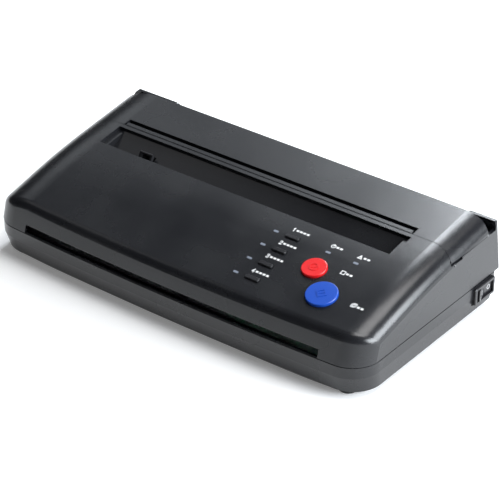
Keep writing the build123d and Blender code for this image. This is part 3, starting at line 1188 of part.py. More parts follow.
def inlet_guide_z(y):
    """Underside of the inlet guide."""
    share = (y - INLET_FRONT_Y) / (inlet_rear_y() - INLET_FRONT_Y)
    return INLET_FRONT_Z + share * (INLET_SILL - INLET_FRONT_Z) - GUIDE_THICKNESS


def inlet_guide():
    """Plate that leads the sheet from the rear sill to the platen, with tabs and posts at its ends."""
    guide = sheet([(INLET_FRONT_Y, INLET_FRONT_Z), (inlet_rear_y(), INLET_SILL)], GUIDE_THICKNESS, -INLET_HALF,
                  INLET_HALF)
    tab = block(INLET_HALF - 3, FRAME_X, INLET_FRONT_Y + 1, INLET_FRONT_Y + 1 + INLET_TAB, INLET_FRONT_Z - 5,
                INLET_FRONT_Z)
    post = block(INLET_HALF - INLET_POST, INLET_HALF, INLET_POST_Y - INLET_POST / 2, INLET_POST_Y + INLET_POST / 2,
                 FLOOR_TOP, inlet_guide_z(INLET_POST_Y) + OVERLAP)
    guide += mirrored(tab + post)
    guide -= block(SHEET_LEVER_X - SHEET_SLOT, SHEET_LEVER_X + SHEET_SLOT, SHEET_LEVER_Y - SHEET_LEVER_REACH,
                   SHEET_LEVER_Y + 3, SHEET_LEVER_Z, ABOVE)
    return guide + sheet_lever_bracket()


def sheet_lever_bracket():
    """Two lugs below the inlet guide with the pin that carries the sheet sensor lever."""
    y, z = SHEET_LEVER_Y, SHEET_LEVER_Z
    lugs = Part()
    for side in (-1, 1):
        inner, outer = sorted((side * (SHEET_SLOT + OVERLAP / 2), side * (SHEET_SLOT + OVERLAP / 2 + TRAY_WALL)))
        x0, x1 = SHEET_LEVER_X + inner, SHEET_LEVER_X + outer
        lugs += slab_x([(y - LEVER_LUG_RADIUS, z), (y + LEVER_LUG_RADIUS, z),
                        (y + LEVER_LUG_RADIUS, inlet_guide_z(y + LEVER_LUG_RADIUS) + OVERLAP),
                        (y - LEVER_LUG_RADIUS, inlet_guide_z(y - LEVER_LUG_RADIUS) + OVERLAP)], x0, x1)
        lugs += rod_x(y, z, LEVER_LUG_RADIUS, x0, x1)
    reach = SHEET_SLOT + OVERLAP / 2 + TRAY_WALL
    return lugs + rod_x(y, z, LEVER_PIN_RADIUS, SHEET_LEVER_X - reach, SHEET_LEVER_X + reach)


def sheet_sensor_lever():
    """Small flag that stands in the stencil's path."""
    arm = slab_x([(SHEET_LEVER_Y - 1.2, SHEET_LEVER_Z), (SHEET_LEVER_Y - 5.5, SHEET_TIP_Z),
                  (SHEET_LEVER_Y - 3.5, SHEET_TIP_Z), (SHEET_LEVER_Y + 1.2, SHEET_LEVER_Z)],
                 SHEET_LEVER_X - LEVER_THICKNESS / 2, SHEET_LEVER_X + LEVER_THICKNESS / 2)
    half = SHEET_SLOT - LEVER_SIDE_GAP
    hub = rod_x(SHEET_LEVER_Y, SHEET_LEVER_Z, LEVER_HUB_RADIUS, SHEET_LEVER_X - half, SHEET_LEVER_X + half)
    bore = rod_x(SHEET_LEVER_Y, SHEET_LEVER_Z, LEVER_PIN_RADIUS + RUNNING_GAP, SHEET_LEVER_X - half - 1,
                 SHEET_LEVER_X + half + 1)
    return arm + hub - bore


# ---- thermal head -----------------------------------------------------------------------------------
def sink_bottom():
    return PLATEN_Z + PLATEN_RADIUS + PAPER_GAP + HEAD_THICKNESS


def heat_sink():
    """Aluminium bar with fins, carrying the pivot pins at its rear."""
    bottom = sink_bottom()
    top = bottom + SINK_THICKNESS
    sink = block(-HEAD_HALF, HEAD_HALF, HEAD_FRONT_Y - 2, SINK_REAR_Y, bottom, top)
    for k in range(SINK_FIN_COUNT):
        y = HEAD_FRONT_Y + SINK_FIN_PITCH * (k + 0.5)
        sink += block(-HEAD_HALF, HEAD_HALF, y - SINK_FIN / 2, y + SINK_FIN / 2, top, top + SINK_FIN_HEIGHT)
    for x in (-SPRING_X, SPRING_X):
        sink -= block(x - SPRING_POCKET, x + SPRING_POCKET, HEAD_SPRING_Y - SPRING_POCKET,
                      HEAD_SPRING_Y + SPRING_POCKET, top, top + SINK_THICKNESS)
    pin = rod_x(HEAD_PIVOT_Y, HEAD_PIVOT_Z, HEAD_PIVOT_RADIUS, HEAD_HALF - 4, FRAME_X + FRAME_THICKNESS)
    boss = rod_x(HEAD_PIVOT_Y, HEAD_PIVOT_Z, HEAD_PIVOT_RADIUS + 0.9, HEAD_HALF, FRAME_X - 0.3)
    return sink + mirrored(pin + boss)


def thermal_head():
    return block(-HEAD_HALF + 1, HEAD_HALF - 1, HEAD_FRONT_Y, HEAD_REAR_Y, sink_bottom() - HEAD_THICKNESS,
                 sink_bottom())


def pressure_springs():
    """Two coil springs between the heat sink and the bar above it."""
    bottom = sink_bottom() + SINK_THICKNESS
    height = SPRING_BAR_Z - bottom - SPRING_WIRE
    coils = []
    for side in (-1, 1):
        path = Helix(pitch=height / SPRING_TURNS, height=height, radius=SPRING_RADIUS)
        start = Plane(path @ 0, z_dir=path % 0)
        coil = sweep(start * RegularPolygon(SPRING_WIRE / 2, SPRING_FACETS), path=path)
        coils.append(Pos(side * SPRING_X, HEAD_SPRING_Y, bottom + SPRING_WIRE / 2) * coil)
    return group(*coils)


def spring_bar():
    reach = FRAME_X + FRAME_THICKNESS
    return block(-reach, reach, HEAD_SPRING_Y - SPRING_BAR_HALF, HEAD_SPRING_Y + SPRING_BAR_HALF, SPRING_BAR_Z,
                 SPRING_BAR_Z + SPRING_BAR_THICKNESS)


# ---- boards, switch and inlet -----------------------------------------------------------------------
def flat_board(spec, bottom):
    x0, x1, y0, y1 = spec
    return block(x0, x1, y0, y1, bottom, bottom + BOARD_THICKNESS)


def board_parts(spec, boxes, cans):
    """Plain outer shapes of the parts that stand on a board, placed as shares of its length and width."""
    x0, x1, y0, y1 = spec
    top = BOARD_Z + BOARD_THICKNESS
    solids = []
    for along, across, length, width, height in boxes:
        x, y = x0 + along * (x1 - x0), y0 + across * (y1 - y0)
        solids.append(block(x - length / 2, x + length / 2, y - width / 2, y + width / 2, top, top + height))
    for along, across, radius, height in cans:
        x, y = x0 + along * (x1 - x0), y0 + across * (y1 - y0)
        solids.append(rod_z(x, y, radius, top, top + height))
    return group(*solids)


def switch_block(half_y, half_z, x0, x1):
    """A block centred on the rocker switch."""
    return block(x0, x1, SWITCH_Y - half_y, SWITCH_Y + half_y, SWITCH_Z - half_z, SWITCH_Z + half_z)


def switch_housing():
    """Bezel outside the wall and a box behind it for the rocker."""
    half_y, half_z = SWITCH_LENGTH / 2, SWITCH_HEIGHT / 2
    inner_y, inner_z = half_y - SWITCH_RIM, half_z - SWITCH_RIM
    room_y, room_z = inner_y - SWITCH_WALL, inner_z - SWITCH_WALL
    bezel = switch_block(half_y, half_z, SIDE, SIDE + SWITCH_BEZEL)
    bezel = chamfer(bezel.edges().filter_by(Axis.X), SWITCH_RIM)
    bezel = chamfer(bezel.faces().sort_by(Axis.X)[-1].edges(), SWITCH_RIM / 2)
    rear = SIDE - SWITCH_BODY_DEPTH
    housing = bezel + switch_block(inner_y, inner_z, rear, SIDE)
    housing -= switch_block(room_y, room_z, SIDE - SWITCH_ROOM, SIDE + SWITCH_BEZEL + 1)
    reach = room_z + ROCKER_PIN_ENTRY
    housing -= rod_z(ROCKER_X, SWITCH_Y, ROCKER_PIN + RUNNING_GAP, SWITCH_Z - reach, SWITCH_Z + reach)
    for y in (SWITCH_Y - SWITCH_TAG, SWITCH_Y, SWITCH_Y + SWITCH_TAG):
        housing += block(rear - SWITCH_TAG, rear, y - TAG_THICKNESS / 2, y + TAG_THICKNESS / 2, SWITCH_Z - 2,
                         SWITCH_Z + 2)
    return housing


def rocker():
    """Rocker with a shallow V face, resting with its rear half pressed in."""
    half_y = SWITCH_LENGTH / 2 - SWITCH_RIM - SWITCH_WALL - ROCKER_CLEARANCE
    half_z = SWITCH_HEIGHT / 2 - SWITCH_RIM - SWITCH_WALL - 0.2
    outline = [(ROCKER_END, -half_y), (ROCKER_END + 0.1, -half_y + 0.6), (ROCKER_VALLEY, 0),
               (ROCKER_END + 0.1, half_y - 0.6), (ROCKER_END, half_y), (-1.0, half_y - 0.8), (-3.0, 1.5),
               (-3.0, -1.5), (-1.0, -half_y + 0.8)]
    body = slab_z(outline, -half_z, half_z) + Cylinder(ROCKER_PIN, 2 * half_z + 1.6)
    return Pos(ROCKER_X, SWITCH_Y, SWITCH_Z) * Rot(0, 0, ROCKER_TILT) * body


def power_inlet():
    """Two-pin inlet in the rear wall."""
    rear = REAR - REAR_STEP
    half_x, half_z = INLET_WIDTH / 2, INLET_HEIGHT / 2
    plate_x, plate_z = half_x + INLET_RIM, half_z + INLET_RIM
    body = block(INLET_X - half_x, INLET_X + half_x, rear - INLET_DEPTH, rear + INLET_PLATE, INLET_Z - half_z,
                 INLET_Z + half_z)
    body += block(INLET_X - plate_x, INLET_X + plate_x, rear, rear + INLET_PLATE, INLET_Z - plate_z,
                  INLET_Z + plate_z)
    slot = SlotCenterToCenter(INLET_PIN_PITCH, INLET_HEIGHT - 2 * INLET_RIM)
    body -= extrude(Plane.XZ.offset(-rear - 2) * Pos(INLET_X, INLET_Z) * slot, amount=INLET_DEPTH - 1)
    for side in (-1, 1):
        x = INLET_X + side * INLET_PIN_PITCH / 2
        body += rod_y(x, INLET_Z, INLET_PIN_RADIUS, rear - INLET_DEPTH + 1, rear - 2)
    return body


# ---- all pieces -------------------------------------------------------------------------------------
def pieces():
    right, left = 1, -1
    parts = {
        "lower_case": lower_case(),
        "upper_case": upper_case(),
        "rear_cover": rear_cover(),
        "hinge_pins": hinge_pins(),
        "rubber_feet": rubber_feet(),
        "case_screws": case_screws(),
        "document_tray": document_tray(),
        "document_sensor_lever": document_sensor_lever(),
        "left_side_frame": side_frame(left),
        "right_side_frame": side_frame(right),
        "shaft_bushes": bushes(),
        "gear_studs": gear_studs(),
        "guide_sheets": guide_sheets(),
        "image_sensor": image_sensor(),
        "sensor_glass": sensor_glass(),
        "scan_shaft": shaft(SCAN, left),
        "scan_sleeve": sleeve(SCAN, SCAN_RADIUS, -ROLLER_HALF, ROLLER_HALF),
        "scan_gear": gear(SCAN_TEETH, SCAN, SCAN_PHASE, left, SHAFT_RADIUS),
        "link_gear": gear(LINK_TEETH, LINK, LINK_PHASE, left, STUD_RADIUS + RUNNING_GAP),
        "feed_shaft": shaft(FEED, left),
        "feed_sleeves": feed_sleeves(),
        "feed_gear": gear(FEED_TEETH, FEED, 0.0, left, SHAFT_RADIUS),
        "left_idler_gear": gear(IDLER_TEETH, LEFT_IDLER, LEFT_IDLER_PHASE, left, STUD_RADIUS + RUNNING_GAP),
        "left_pinion": pinion(LEFT_PINION_PHASE, left),
        "left_motor": motor(left),
        "pad_holder": pad_holder(),
        "separation_pads": separation_pad(),
        "platen_shaft": shaft(PLATEN, right),
        "platen_sleeve": sleeve(PLATEN, PLATEN_RADIUS, -ROLLER_HALF, ROLLER_HALF),
        "platen_gear": gear(PLATEN_TEETH, PLATEN, 0.0, right, SHAFT_RADIUS),
        "right_idler_gear": gear(IDLER_TEETH, RIGHT_IDLER, RIGHT_IDLER_PHASE, right, STUD_RADIUS + RUNNING_GAP),
        "right_pinion": pinion(RIGHT_PINION_PHASE, right),
        "right_motor": motor(right),
        "heat_sink": heat_sink(),
        "thermal_head": thermal_head(),
        "pressure_springs": pressure_springs(),
        "spring_bar": spring_bar(),
        "inlet_guide": inlet_guide(),
        "sheet_sensor_lever": sheet_sensor_lever(),
        "main_board": flat_board(MAIN_BOARD, BOARD_Z),
        "main_board_parts": board_parts(MAIN_BOARD, MAIN_PARTS, MAIN_CANS),
        "power_board": flat_board(POWER_BOARD, BOARD_Z),
        "power_board_parts": board_parts(POWER_BOARD, POWER_PARTS, POWER_CANS),
        "key_board": key_board(),
        "tact_switches": tact_switches(),
        "mode_lamps": light_pipes(mode_spots(MODE_LAMP_X)),
        "status_lamps": light_pipes(lamp_spots()[MODE_COUNT:]),
        "stop_button": stop_button(),
        "copy_button": copy_button(),
        "switch_housing": switch_housing(),
        "rocker": rocker(),
        "power_inlet": power_inlet(),
    }
    for number, (x, y) in enumerate(mode_spots(MODE_KEY_X), start=1):
        parts[f"mode_key_{number}"] = mode_key(x, y)
    return parts


def main():
    os.makedirs("parts", exist_ok=True)
    for name, shape in pieces().items():
        shape.label = name
        export_step(shape, f"parts/{name}.step")


if __name__ == "__main__":
    main()
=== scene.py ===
"""Looks for the thermal stencil copier: camera, studio, materials, panel print and small fittings
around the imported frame.  Metres, in the frame of the CAD part."""

import json
import math

import bmesh
import bpy
from mathutils import Matrix, Vector


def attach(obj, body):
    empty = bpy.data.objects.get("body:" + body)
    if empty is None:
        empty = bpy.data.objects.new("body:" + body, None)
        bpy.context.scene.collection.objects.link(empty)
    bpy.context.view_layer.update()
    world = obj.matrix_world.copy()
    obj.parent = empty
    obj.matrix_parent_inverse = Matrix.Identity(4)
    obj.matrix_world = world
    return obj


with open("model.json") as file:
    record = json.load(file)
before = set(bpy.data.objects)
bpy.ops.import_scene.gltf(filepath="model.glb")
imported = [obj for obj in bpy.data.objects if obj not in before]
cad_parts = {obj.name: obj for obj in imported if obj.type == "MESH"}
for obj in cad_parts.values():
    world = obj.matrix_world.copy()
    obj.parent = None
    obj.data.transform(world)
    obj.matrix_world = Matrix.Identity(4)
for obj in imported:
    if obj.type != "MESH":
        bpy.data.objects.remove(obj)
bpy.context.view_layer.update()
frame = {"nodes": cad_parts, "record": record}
NODES = frame["nodes"]
MM = 0.001
SCENE = bpy.context.scene

# ---- camera -------------------------------------------------------------------------------------
CAMERA_PLACE = Vector((0.71252, -0.90671, 0.72263))
CAMERA_AIM = Vector((0.010738, -0.002689, 0.0233))
CAMERA_LENS = 154.17          # millimetres
SENSOR_WIDTH = 36.0           # millimetres
NEAREST, FARTHEST = 0.05, 30.0


def add_camera():
    data = bpy.data.cameras.new("camera")
    data.lens = CAMERA_LENS
    data.sensor_width = SENSOR_WIDTH
    data.clip_start = NEAREST
    data.clip_end = FARTHEST
    camera = bpy.data.objects.new("camera", data)
    SCENE.collection.objects.link(camera)
    camera.location = CAMERA_PLACE
    camera.rotation_euler = (CAMERA_AIM - CAMERA_PLACE).to_track_quat("-Z", "Y").to_euler()
    SCENE.camera = camera


# ---- studio -------------------------------------------------------------------------------------
def area_light(name, place, aim, size, power, colour):
    data = bpy.data.lights.new(name, "AREA")
    data.shape = "RECTANGLE"
    data.size, data.size_y = size
    data.energy = power
    data.color = colour
    lamp = bpy.data.objects.new(name, data)
    SCENE.collection.objects.link(lamp)
    lamp.location = place
    lamp.rotation_euler = (Vector(aim) - Vector(place)).to_track_quat("-Z", "Y").to_euler()


WORLD_LIGHT = 0.03
FLOOR_HALF = 6.0
FLOOR_GLOW = 0.20
FLOOR_COLOUR, FLOOR_ROUGHNESS, FLOOR_SHINE = (0.93, 0.93, 0.93), 0.7, 0.2
COOL, PLAIN = (0.90, 0.95, 1.0), (1.0, 1.0, 1.0)
# place, aim, size, power in watts and colour of each soft box
LIGHTS = {
    "right": ((1.7, 0.35, 0.70), (0.1, 0.0, 0.03), (1.3, 0.9), 68.0, COOL),
    "rear": ((-0.356, 1.095, 1.11), (0.0, 0.05, 0.06), (0.45, 0.5), 19.0, COOL),
    "rear_wide": ((-0.30, 1.11, 1.11), (0.0, 0.05, 0.06), (1.3, 0.5), 3.0, COOL),
    "rear_left": ((-1.35, 0.85, 1.05), (0.0, 0.05, 0.06), (0.6, 0.5), 1.2, COOL),
    "top": ((0.5, 0.3, 1.8), (0.0, 0.0, 0.0), (1.0, 1.0), 21.0, PLAIN),
    "left": ((-1.16, -0.15, 1.38), (0.0, 0.0, 0.03), (0.6, 0.6), 0.6, PLAIN),
}


def add_studio():
    SCENE.view_settings.view_transform = "Standard"
    world = bpy.data.worlds.new("studio")
    world.use_nodes = True
    SCENE.world = world
    background = world.node_tree.nodes["Background"]
    background.inputs["Color"].default_value = (1.0, 1.0, 1.0, 1.0)
    background.inputs["Strength"].default_value = WORLD_LIGHT
    for name, (place, aim, size, power, colour) in LIGHTS.items():
        area_light(name, place, aim, size, power, colour)
    add_floor()


def add_floor():
    corners = [(-1, -1), (1, -1), (1, 1), (-1, 1)]
    mesh = bpy.data.meshes.new("floor")
    mesh.from_pydata([(x * FLOOR_HALF, y * FLOOR_HALF, 0) for x, y in corners], [], [(0, 1, 2, 3)])
    floor = bpy.data.objects.new("floor", mesh)
    SCENE.collection.objects.link(floor)
    floor.data.materials.append(floor_material())


def floor_material():
    material, shader = new_material("studio_floor", FLOOR_COLOUR, FLOOR_ROUGHNESS)
    shader.inputs["Specular IOR Level"].default_value = FLOOR_SHINE
    shader.inputs["Emission Color"].default_value = (1.0, 1.0, 1.0, 1.0)
    shader.inputs["Emission Strength"].default_value = FLOOR_GLOW
    return material


# ---- materials ----------------------------------------------------------------------------------
def new_material(name, colour, roughness, metallic=0.0):
    material = bpy.data.materials.new(name)
    material.use_nodes = True
    shader = material.node_tree.nodes["Principled BSDF"]
    shader.inputs["Base Color"].default_value = (*colour, 1.0)
    shader.inputs["Roughness"].default_value = roughness
    shader.inputs["Metallic"].default_value = metallic
    return material, shader


NOISE_LOW, NOISE_HIGH = 0.3, 0.7              # range of a noise that is spread to full contrast
CLOUD_SCALE, CLOUD_DETAIL = 22.0, 4.0         # slow change of tone over a moulding
CLOUD_ROUGHNESS = 0.04                        # change of roughness that goes with it
GRAIN, GRAIN_DEPTH, GRAIN_STRENGTH = 1800.0, 0.00004, 0.35


class Nodes:
    """Wires the shader nodes of one material."""

    def __init__(self, material):
        self.tree = material.node_tree
        self.coordinates = self.tree.nodes.new("ShaderNodeTexCoord").outputs["Object"]

    def add(self, kind, **inputs):
        node = self.tree.nodes.new(kind)
        for key, value in inputs.items():
            self.put(node, key.replace("_", " "), value)
        return node

    def put(self, node, key, value):
        socket = node.inputs[key]
        if hasattr(value, "is_linked"):
            self.tree.links.new(value, socket)
        else:
            socket.default_value = value

    def noise(self, scale, detail=3.0, roughness=0.5, stretch=None):
        vector = self.coordinates
        if stretch:
            mapping = self.tree.nodes.new("ShaderNodeMapping")
            self.tree.links.new(vector, mapping.inputs["Vector"])
            mapping.inputs["Scale"].default_value = stretch
            vector = mapping.outputs["Vector"]
        node = self.add("ShaderNodeTexNoise", Scale=scale, Detail=detail, Roughness=roughness)
        self.tree.links.new(vector, node.inputs["Vector"])
        return node.outputs["Fac"]

    def spread(self, value, low, high):
        node = self.tree.nodes.new("ShaderNodeMapRange")
        self.put(node, "Value", value)
        node.inputs["From Min"].default_value = NOISE_LOW
        node.inputs["From Max"].default_value = NOISE_HIGH
        node.inputs["To Min"].default_value = low
        node.inputs["To Max"].default_value = high
        return node.outputs["Result"]

    def colours(self, value, first, second):
        node = self.tree.nodes.new("ShaderNodeMix")
        node.data_type = "RGBA"
        self.tree.links.new(value, node.inputs["Factor"])
        node.inputs["A"].default_value = (*first, 1.0)
        node.inputs["B"].default_value = (*second, 1.0)
        return node.outputs["Result"]

    def bump(self, shader, height, strength, distance):
        node = self.tree.nodes.new("ShaderNodeBump")
        node.inputs["Strength"].default_value = strength
        node.inputs["Distance"].default_value = distance
        self.tree.links.new(height, node.inputs["Height"])
        self.tree.links.new(node.outputs["Normal"], shader.inputs["Normal"])


def moulded_plastic(name, colour, second, roughness, grain=GRAIN):
    """Moulded plastic with a fine spark-eroded grain."""
    material, shader = new_material(name, colour, roughness)
    nodes = Nodes(material)
    cloud = nodes.noise(CLOUD_SCALE, CLOUD_DETAIL)
    fine = nodes.noise(grain, 2.0)
    nodes.put(shader, "Base Color", nodes.colours(nodes.spread(cloud, 0.0, 1.0), colour, second))
    low, high = roughness - CLOUD_ROUGHNESS, roughness + CLOUD_ROUGHNESS
    nodes.put(shader, "Roughness", nodes.spread(cloud, low, high))
    nodes.bump(shader, fine, GRAIN_STRENGTH, GRAIN_DEPTH)
    return material


def scaled(colour, share):
    return tuple(min(1.0, part * share) for part in colour)


def rubber(name, colour, roughness):
    """Rubber with a dull, slightly uneven skin."""
    material, shader = new_material(name, colour, roughness)
    nodes = Nodes(material)
    fine = nodes.noise(900.0, 3.0)
    nodes.put(shader, "Roughness", nodes.spread(fine, roughness - 0.08, roughness + 0.08))
    nodes.put(shader, "Base Color", nodes.colours(nodes.noise(60.0), colour, scaled(colour, 1.25)))
    nodes.bump(shader, fine, 0.4, 0.00005)
    return material


def metal(name, colour, roughness, stretch=(1.0, 1.0, 1.0)):
    """Metal whose grain runs along the axis with the small stretch."""
    material, shader = new_material(name, colour, roughness, 1.0)
    nodes = Nodes(material)
    grain = nodes.noise(300.0, 4.0, 0.6, stretch)
    nodes.put(shader, "Roughness", nodes.spread(grain, roughness - 0.08, roughness + 0.1))
    nodes.put(shader, "Base Color", nodes.colours(grain, colour, scaled(colour, 0.85)))
    nodes.bump(shader, grain, 0.15, 0.00003)
    return material


def circuit_board(name):
    """Green solder mask with lighter tracks."""
    material, shader = new_material(name, (0.02, 0.16, 0.06), 0.4)
    nodes = Nodes(material)
    cells = nodes.tree.nodes.new("ShaderNodeTexVoronoi")
    cells.distance = "MANHATTAN"
    cells.inputs["Scale"].default_value = 220.0
    nodes.tree.links.new(nodes.coordinates, cells.inputs["Vector"])
    tracks = nodes.spread(cells.outputs["Distance"], 0.0, 1.0)
    nodes.put(shader, "Base Color", nodes.colours(tracks, (0.015, 0.13, 0.05), (0.03, 0.23, 0.09)))
    nodes.bump(shader, tracks, 0.2, 0.00003)
    return material


def glass(name):
    """Clear glass with faint smears."""
    material, shader = new_material(name, (0.85, 0.92, 0.9), 0.05)
    shader.inputs["Transmission Weight"].default_value = 0.9
    shader.inputs["IOR"].default_value = 1.5
    nodes = Nodes(material)
    nodes.put(shader, "Roughness", nodes.spread(nodes.noise(80.0), 0.03, 0.09))
    return material


def lamp_plastic(name, colour):
    """Milky plastic of the unlit lamp windows."""
    material, shader = new_material(name, colour, 0.3)
    nodes = Nodes(material)
    cloud = nodes.noise(900.0)
    nodes.put(shader, "Base Color", nodes.colours(cloud, colour, scaled(colour, 1.3)))
    nodes.bump(shader, cloud, 0.1, 0.00002)
    return material


# first colour, second colour, roughness and grain of each moulded material
MOULDED = {
    "black_plastic": ((0.0085, 0.009, 0.011), (0.011, 0.0115, 0.0135), 0.26, GRAIN),
    "grey_plastic": ((0.012, 0.012, 0.014), (0.016, 0.016, 0.018), 0.30, GRAIN),
    "ceramic": ((0.62, 0.56, 0.45), (0.66, 0.60, 0.48), 0.2, 500.0),
    "gear_plastic": ((0.75, 0.74, 0.69), (0.79, 0.78, 0.73), 0.4, 900.0),
    "sensor_body": ((0.02, 0.02, 0.022), (0.026, 0.026, 0.03), 0.4, GRAIN),
    "components": ((0.03, 0.03, 0.032), (0.045, 0.045, 0.05), 0.4, GRAIN),
    "red_plastic": ((0.62, 0.008, 0.010), (0.67, 0.010, 0.013), 0.3, GRAIN),
    "blue_plastic": ((0.008, 0.060, 0.39), (0.010, 0.072, 0.43), 0.3, GRAIN),
}
# colour, roughness and stretch of the grain
METALS = {
    "frame_steel": ((0.55, 0.56, 0.58), 0.38, (1.0, 1.0, 1.0)),
    "bright_steel": ((0.72, 0.73, 0.75), 0.22, (0.1, 1.0, 1.0)),
    "aluminium": ((0.68, 0.69, 0.71), 0.35, (0.05, 1.0, 1.0)),
}
RUBBERS = {
    "black_rubber": ((0.02, 0.02, 0.02), 0.75),
    "white_roller": ((0.72, 0.72, 0.70), 0.6),
}
LAMP_COLOUR = (0.16, 0.18, 0.22)
PRINT_LOOK = ((0.72, 0.72, 0.72), (0.66, 0.66, 0.66), 0.5)


def build_materials():
    """One material per slot of the record."""
    made = {name: moulded_plastic(name, *look) for name, look in MOULDED.items()}
    made.update({name: metal(name, *look) for name, look in METALS.items()})
    made.update({name: rubber(name, *look) for name, look in RUBBERS.items()})
    made["clear_glass"] = glass("clear_glass")
    made["lamp_plastic"] = lamp_plastic("lamp_plastic", LAMP_COLOUR)
    made["circuit_board"] = circuit_board("circuit_board")
    return made


def dress_nodes(materials):
    slots = {entry["node"]: entry["material_slot"] for entry in frame["record"]["subparts"]}
    for name, node in NODES.items():
        node.data.materials.clear()
        node.data.materials.append(materials[slots[name]])


# ---- the top skin, as in the CAD source ---------------------------------------------------------
PANEL_SLOPE, COVER_SLOPE = math.radians(13.9), math.radians(8.1)
KNEE_Y, KNEE_HEIGHT, KNEE_RADIUS = -12.2, 55.5, 500.0


def skin_z(y):
    """Height of the top skin, in millimetres."""
    reach = KNEE_RADIUS * math.tan((PANEL_SLOPE - COVER_SLOPE) / 2)
    start = KNEE_Y - reach * math.cos(PANEL_SLOPE)
    end = KNEE_Y + reach * math.cos(COVER_SLOPE)
    if y <= start:
        return KNEE_HEIGHT + (y - KNEE_Y) * math.tan(PANEL_SLOPE)
    if y >= end:
        return KNEE_HEIGHT + (y - KNEE_Y) * math.tan(COVER_SLOPE)
    centre_y = start + KNEE_RADIUS * math.sin(PANEL_SLOPE)
    centre_z = KNEE_HEIGHT - reach * math.sin(PANEL_SLOPE) - KNEE_RADIUS * math.cos(PANEL_SLOPE)
    return centre_z + math.sqrt(KNEE_RADIUS ** 2 - (y - centre_y) ** 2)


# ---- printed marks ------------------------------------------------------------------------------
PRINT_THICKNESS = 0.05        # millimetres, as all sizes in this section
PRINT_SUNK = 0.02
STROKE = 0.6                  # width of a line
MARK_HEIGHT = 2.7
DASH_LENGTH = 1.8
DASH_GAP = 0.75
DASH_WIDTH = 1.5


def stroke_outline(start, end, width):
    """Four corners of a straight stroke with a little overrun at both ends."""
    (x0, y0), (x1, y1) = start, end
    length = math.hypot(x1 - x0, y1 - y0) or 1.0
    ux, uy = (x1 - x0) / length * width / 2, (y1 - y0) / length * width / 2
    return [(x0 - ux - uy, y0 - uy + ux), (x0 - ux + uy, y0 - uy - ux),
            (x1 + ux + uy, y1 + uy - ux), (x1 + ux - uy, y1 + uy + ux)]


def line_strokes(points, width=STROKE):
    return [stroke_outline(a, b, width) for a, b in zip(points, points[1:])]


def arc_strokes(centre, radius, start, end, steps, width=STROKE):
    points = []
    for step in range(steps + 1):
        angle = math.radians(start + (end - start) * step / steps)
        points.append((centre[0] + radius * math.cos(angle), centre[1] + radius * math.sin(angle)))
    return line_strokes(points, width)


def shifted(outlines, dx, dy=0.0):
    return [[(x + dx, y + dy) for x, y in outline] for outline in outlines]


NUMERAL_WIDTH = 0.55          # share of the height
# strokes of each numeral, in shares of its width and of half its height
NUMERALS = {
    1: [[(0.15, 0.5), (0.6, 1), (0.6, -1)]],
    2: [[(0, 0.55), (0.25, 1), (0.75, 1), (1, 0.55), (1, 0.2), (0, -1), (1, -1)]],
    3: [[(0, 0.7), (0.3, 1), (0.75, 1), (1, 0.6), (0.75, 0.08), (0.4, 0.08)],
        [(0.75, 0.08), (1, -0.45), (0.75, -1), (0.3, -1), (0, -0.7)]],
    4: [[(0.75, -1), (0.75, 1), (0, -0.35), (1, -0.35)]],
}


def numeral(value):
    """A numeral from one to four, MARK_HEIGHT high; its left edge's middle is at the origin."""
    high, wide = MARK_HEIGHT / 2, MARK_HEIGHT * NUMERAL_WIDTH
    outlines = []
    for points in NUMERALS[value]:
        outlines.extend(line_strokes([(x * wide, y * high) for x, y in points]))
    return outlines


def dashes(count, start):
    """A row of short bars on the line's middle."""
    row = []
    for number in range(count):
        x = start + number * (DASH_LENGTH + DASH_GAP)
        ends = [(x + DASH_WIDTH / 2, 0.0), (x + DASH_LENGTH - DASH_WIDTH / 2, 0.0)]
        row.extend(line_strokes(ends, DASH_WIDTH))
    return row


def square(half):
    corners = [(-half, -half), (half, -half), (half, half), (-half, half)]
    return line_strokes(corners + corners[:1])


def mode_mark(value):
    """A numeral and four bars, in place of the mode's name."""
    return shifted(numeral(value) + dashes(4, 2.6), -5.8)


def power_mark():
    """The common power symbol and two bars."""
    ring = arc_strokes((0, 0), MARK_HEIGHT * 0.5, 120, 420, 12)
    return ring + line_strokes([(0, 0.1), (0, MARK_HEIGHT * 0.62)]) + shifted(dashes(2, 0.0), 2.2)


def error_mark():
    """A warning triangle and two bars."""
    half = MARK_HEIGHT / 2
    triangle = line_strokes([(-1.3, -half), (1.3, -half), (0, half), (-1.3, -half)])
    return triangle + line_strokes([(0, 0.25), (0, -0.45)]) + shifted(dashes(2, 0.0), 2.4)


def stop_mark():
    """A square and two bars."""
    return shifted(square(MARK_HEIGHT * 0.48) + shifted(dashes(2, 0.0), 2.2), -2.0)


def copy_mark():
    """Two pages and two bars."""
    page = square(MARK_HEIGHT * 0.42)
    return shifted(page + shifted(page, 0.9, 0.7) + shifted(dashes(2, 0.0), 3.0), -2.4)


def prisms(name, outlines, place):
    """Closed thin prisms; place(u, v, height) gives a point in millimetres."""
    mesh = bmesh.new()
    for outline in outlines:
        low = [mesh.verts.new(Vector(place(u, v, -PRINT_SUNK)) * MM) for u, v in outline]
        high = [mesh.verts.new(Vector(place(u, v, PRINT_THICKNESS)) * MM) for u, v in outline]
        mesh.faces.new(high)
        mesh.faces.new(list(reversed(low)))
        for k in range(len(outline)):
            after = (k + 1) % len(outline)
            mesh.faces.new([low[k], low[after], high[after], high[k]])
    bmesh.ops.recalc_face_normals(mesh, faces=mesh.faces)
    return mesh_object(name, mesh)


def mesh_object(name, mesh):
    data = bpy.data.meshes.new(name)
    mesh.to_mesh(data)
    mesh.free()
    piece = bpy.data.objects.new(name, data)
    SCENE.collection.objects.link(piece)
    return piece


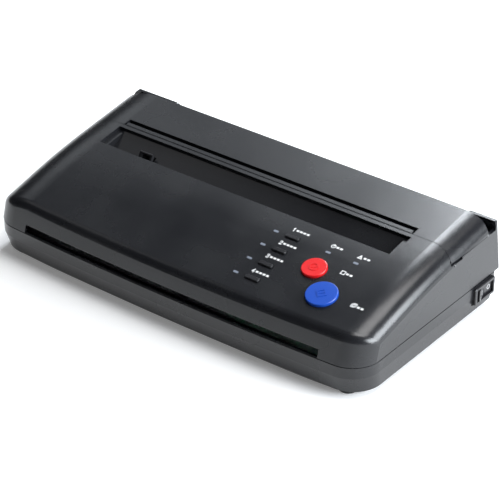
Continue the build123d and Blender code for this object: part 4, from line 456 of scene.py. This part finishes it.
# place of each mark on the panel: x, y, outlines
PANEL_MARKS = [
    (54.8, -9.0, mode_mark(1)), (54.8, -22.4, mode_mark(2)), (54.8, -35.5, mode_mark(3)),
    (54.8, -49.5, mode_mark(4)), (79.9, -9.9, power_mark()), (99.7, -10.1, error_mark()),
    (100.7, -26.3, stop_mark()), (122.2, -45.8, copy_mark()),
]


def add_panel_print(material):
    outlines = []
    for x, y, marks in PANEL_MARKS:
        outlines.extend(shifted(marks, x, y))
    piece = prisms("panel_print", outlines, lambda u, v, height: (u, v, skin_z(v) + height))
    piece.data.materials.append(material)
    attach(piece, "base")


ROCKER_CENTRE = Vector((141.0, 57.5, 15.7))
ROCKER_TILT = math.radians(8.0)
ROCKER_END, ROCKER_VALLEY = 5.7, 4.4          # height of the face at its ends and its middle
ROCKER_FACE = 7.8                             # length of each half of the face
ROCKER_BAR_X, ROCKER_BAR_HALF = -3.8, 1.5
ROCKER_RING_X, ROCKER_RING_RADIUS = 4.9, 1.4
ROCKER_STROKE = 0.5


def add_rocker_print(material):
    """The line and the ring on the two halves of the rocker."""
    ends = [(ROCKER_BAR_X, -ROCKER_BAR_HALF), (ROCKER_BAR_X, ROCKER_BAR_HALF)]
    bar = line_strokes(ends, ROCKER_STROKE)
    ring = arc_strokes((ROCKER_RING_X, 0.0), ROCKER_RING_RADIUS, 0, 360, 20, ROCKER_STROKE)
    turn = Matrix.Rotation(ROCKER_TILT, 3, "Z")

    def place(u, v, height):
        face_x = ROCKER_VALLEY + (ROCKER_END - ROCKER_VALLEY) * abs(u) / ROCKER_FACE
        return ROCKER_CENTRE + turn @ Vector((face_x + height, u, v))

    piece = prisms("rocker_print", bar + ring, place)
    piece.data.materials.append(material)
    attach(piece, "rocker_body")


# ---- strip ends ---------------------------------------------------------------------------------
STRIP_END_X = (112.7, 114.3)  # millimetres, from the strip's end to the panel
STRIP_END_Y = (20.4, 23.5)
STRIP_END_DEPTH = 2.5


def add_strip_ends(material):
    """Blocks, level with the skin, that join the front half of the strip's ends to the panel."""
    mesh = bmesh.new()
    for side in (-1, 1):
        corners = [(side * x, y) for x in STRIP_END_X for y in STRIP_END_Y]
        verts = []
        for x, y in corners:
            for drop in (0.0, STRIP_END_DEPTH):
                verts.append(mesh.verts.new(Vector((x, y, skin_z(y) - drop)) * MM))
        bmesh.ops.convex_hull(mesh, input=verts)
    bmesh.ops.recalc_face_normals(mesh, faces=mesh.faces)
    piece = mesh_object("strip_ends", mesh)
    piece.data.materials.append(material)
    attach(piece, "base")


# ---- the scene ----------------------------------------------------------------------------------
MATERIALS = build_materials()
PRINT = moulded_plastic("white_print", *PRINT_LOOK)
add_camera()
add_studio()
dress_nodes(MATERIALS)
add_panel_print(PRINT)
add_rocker_print(PRINT)
add_strip_ends(MATERIALS["black_plastic"])
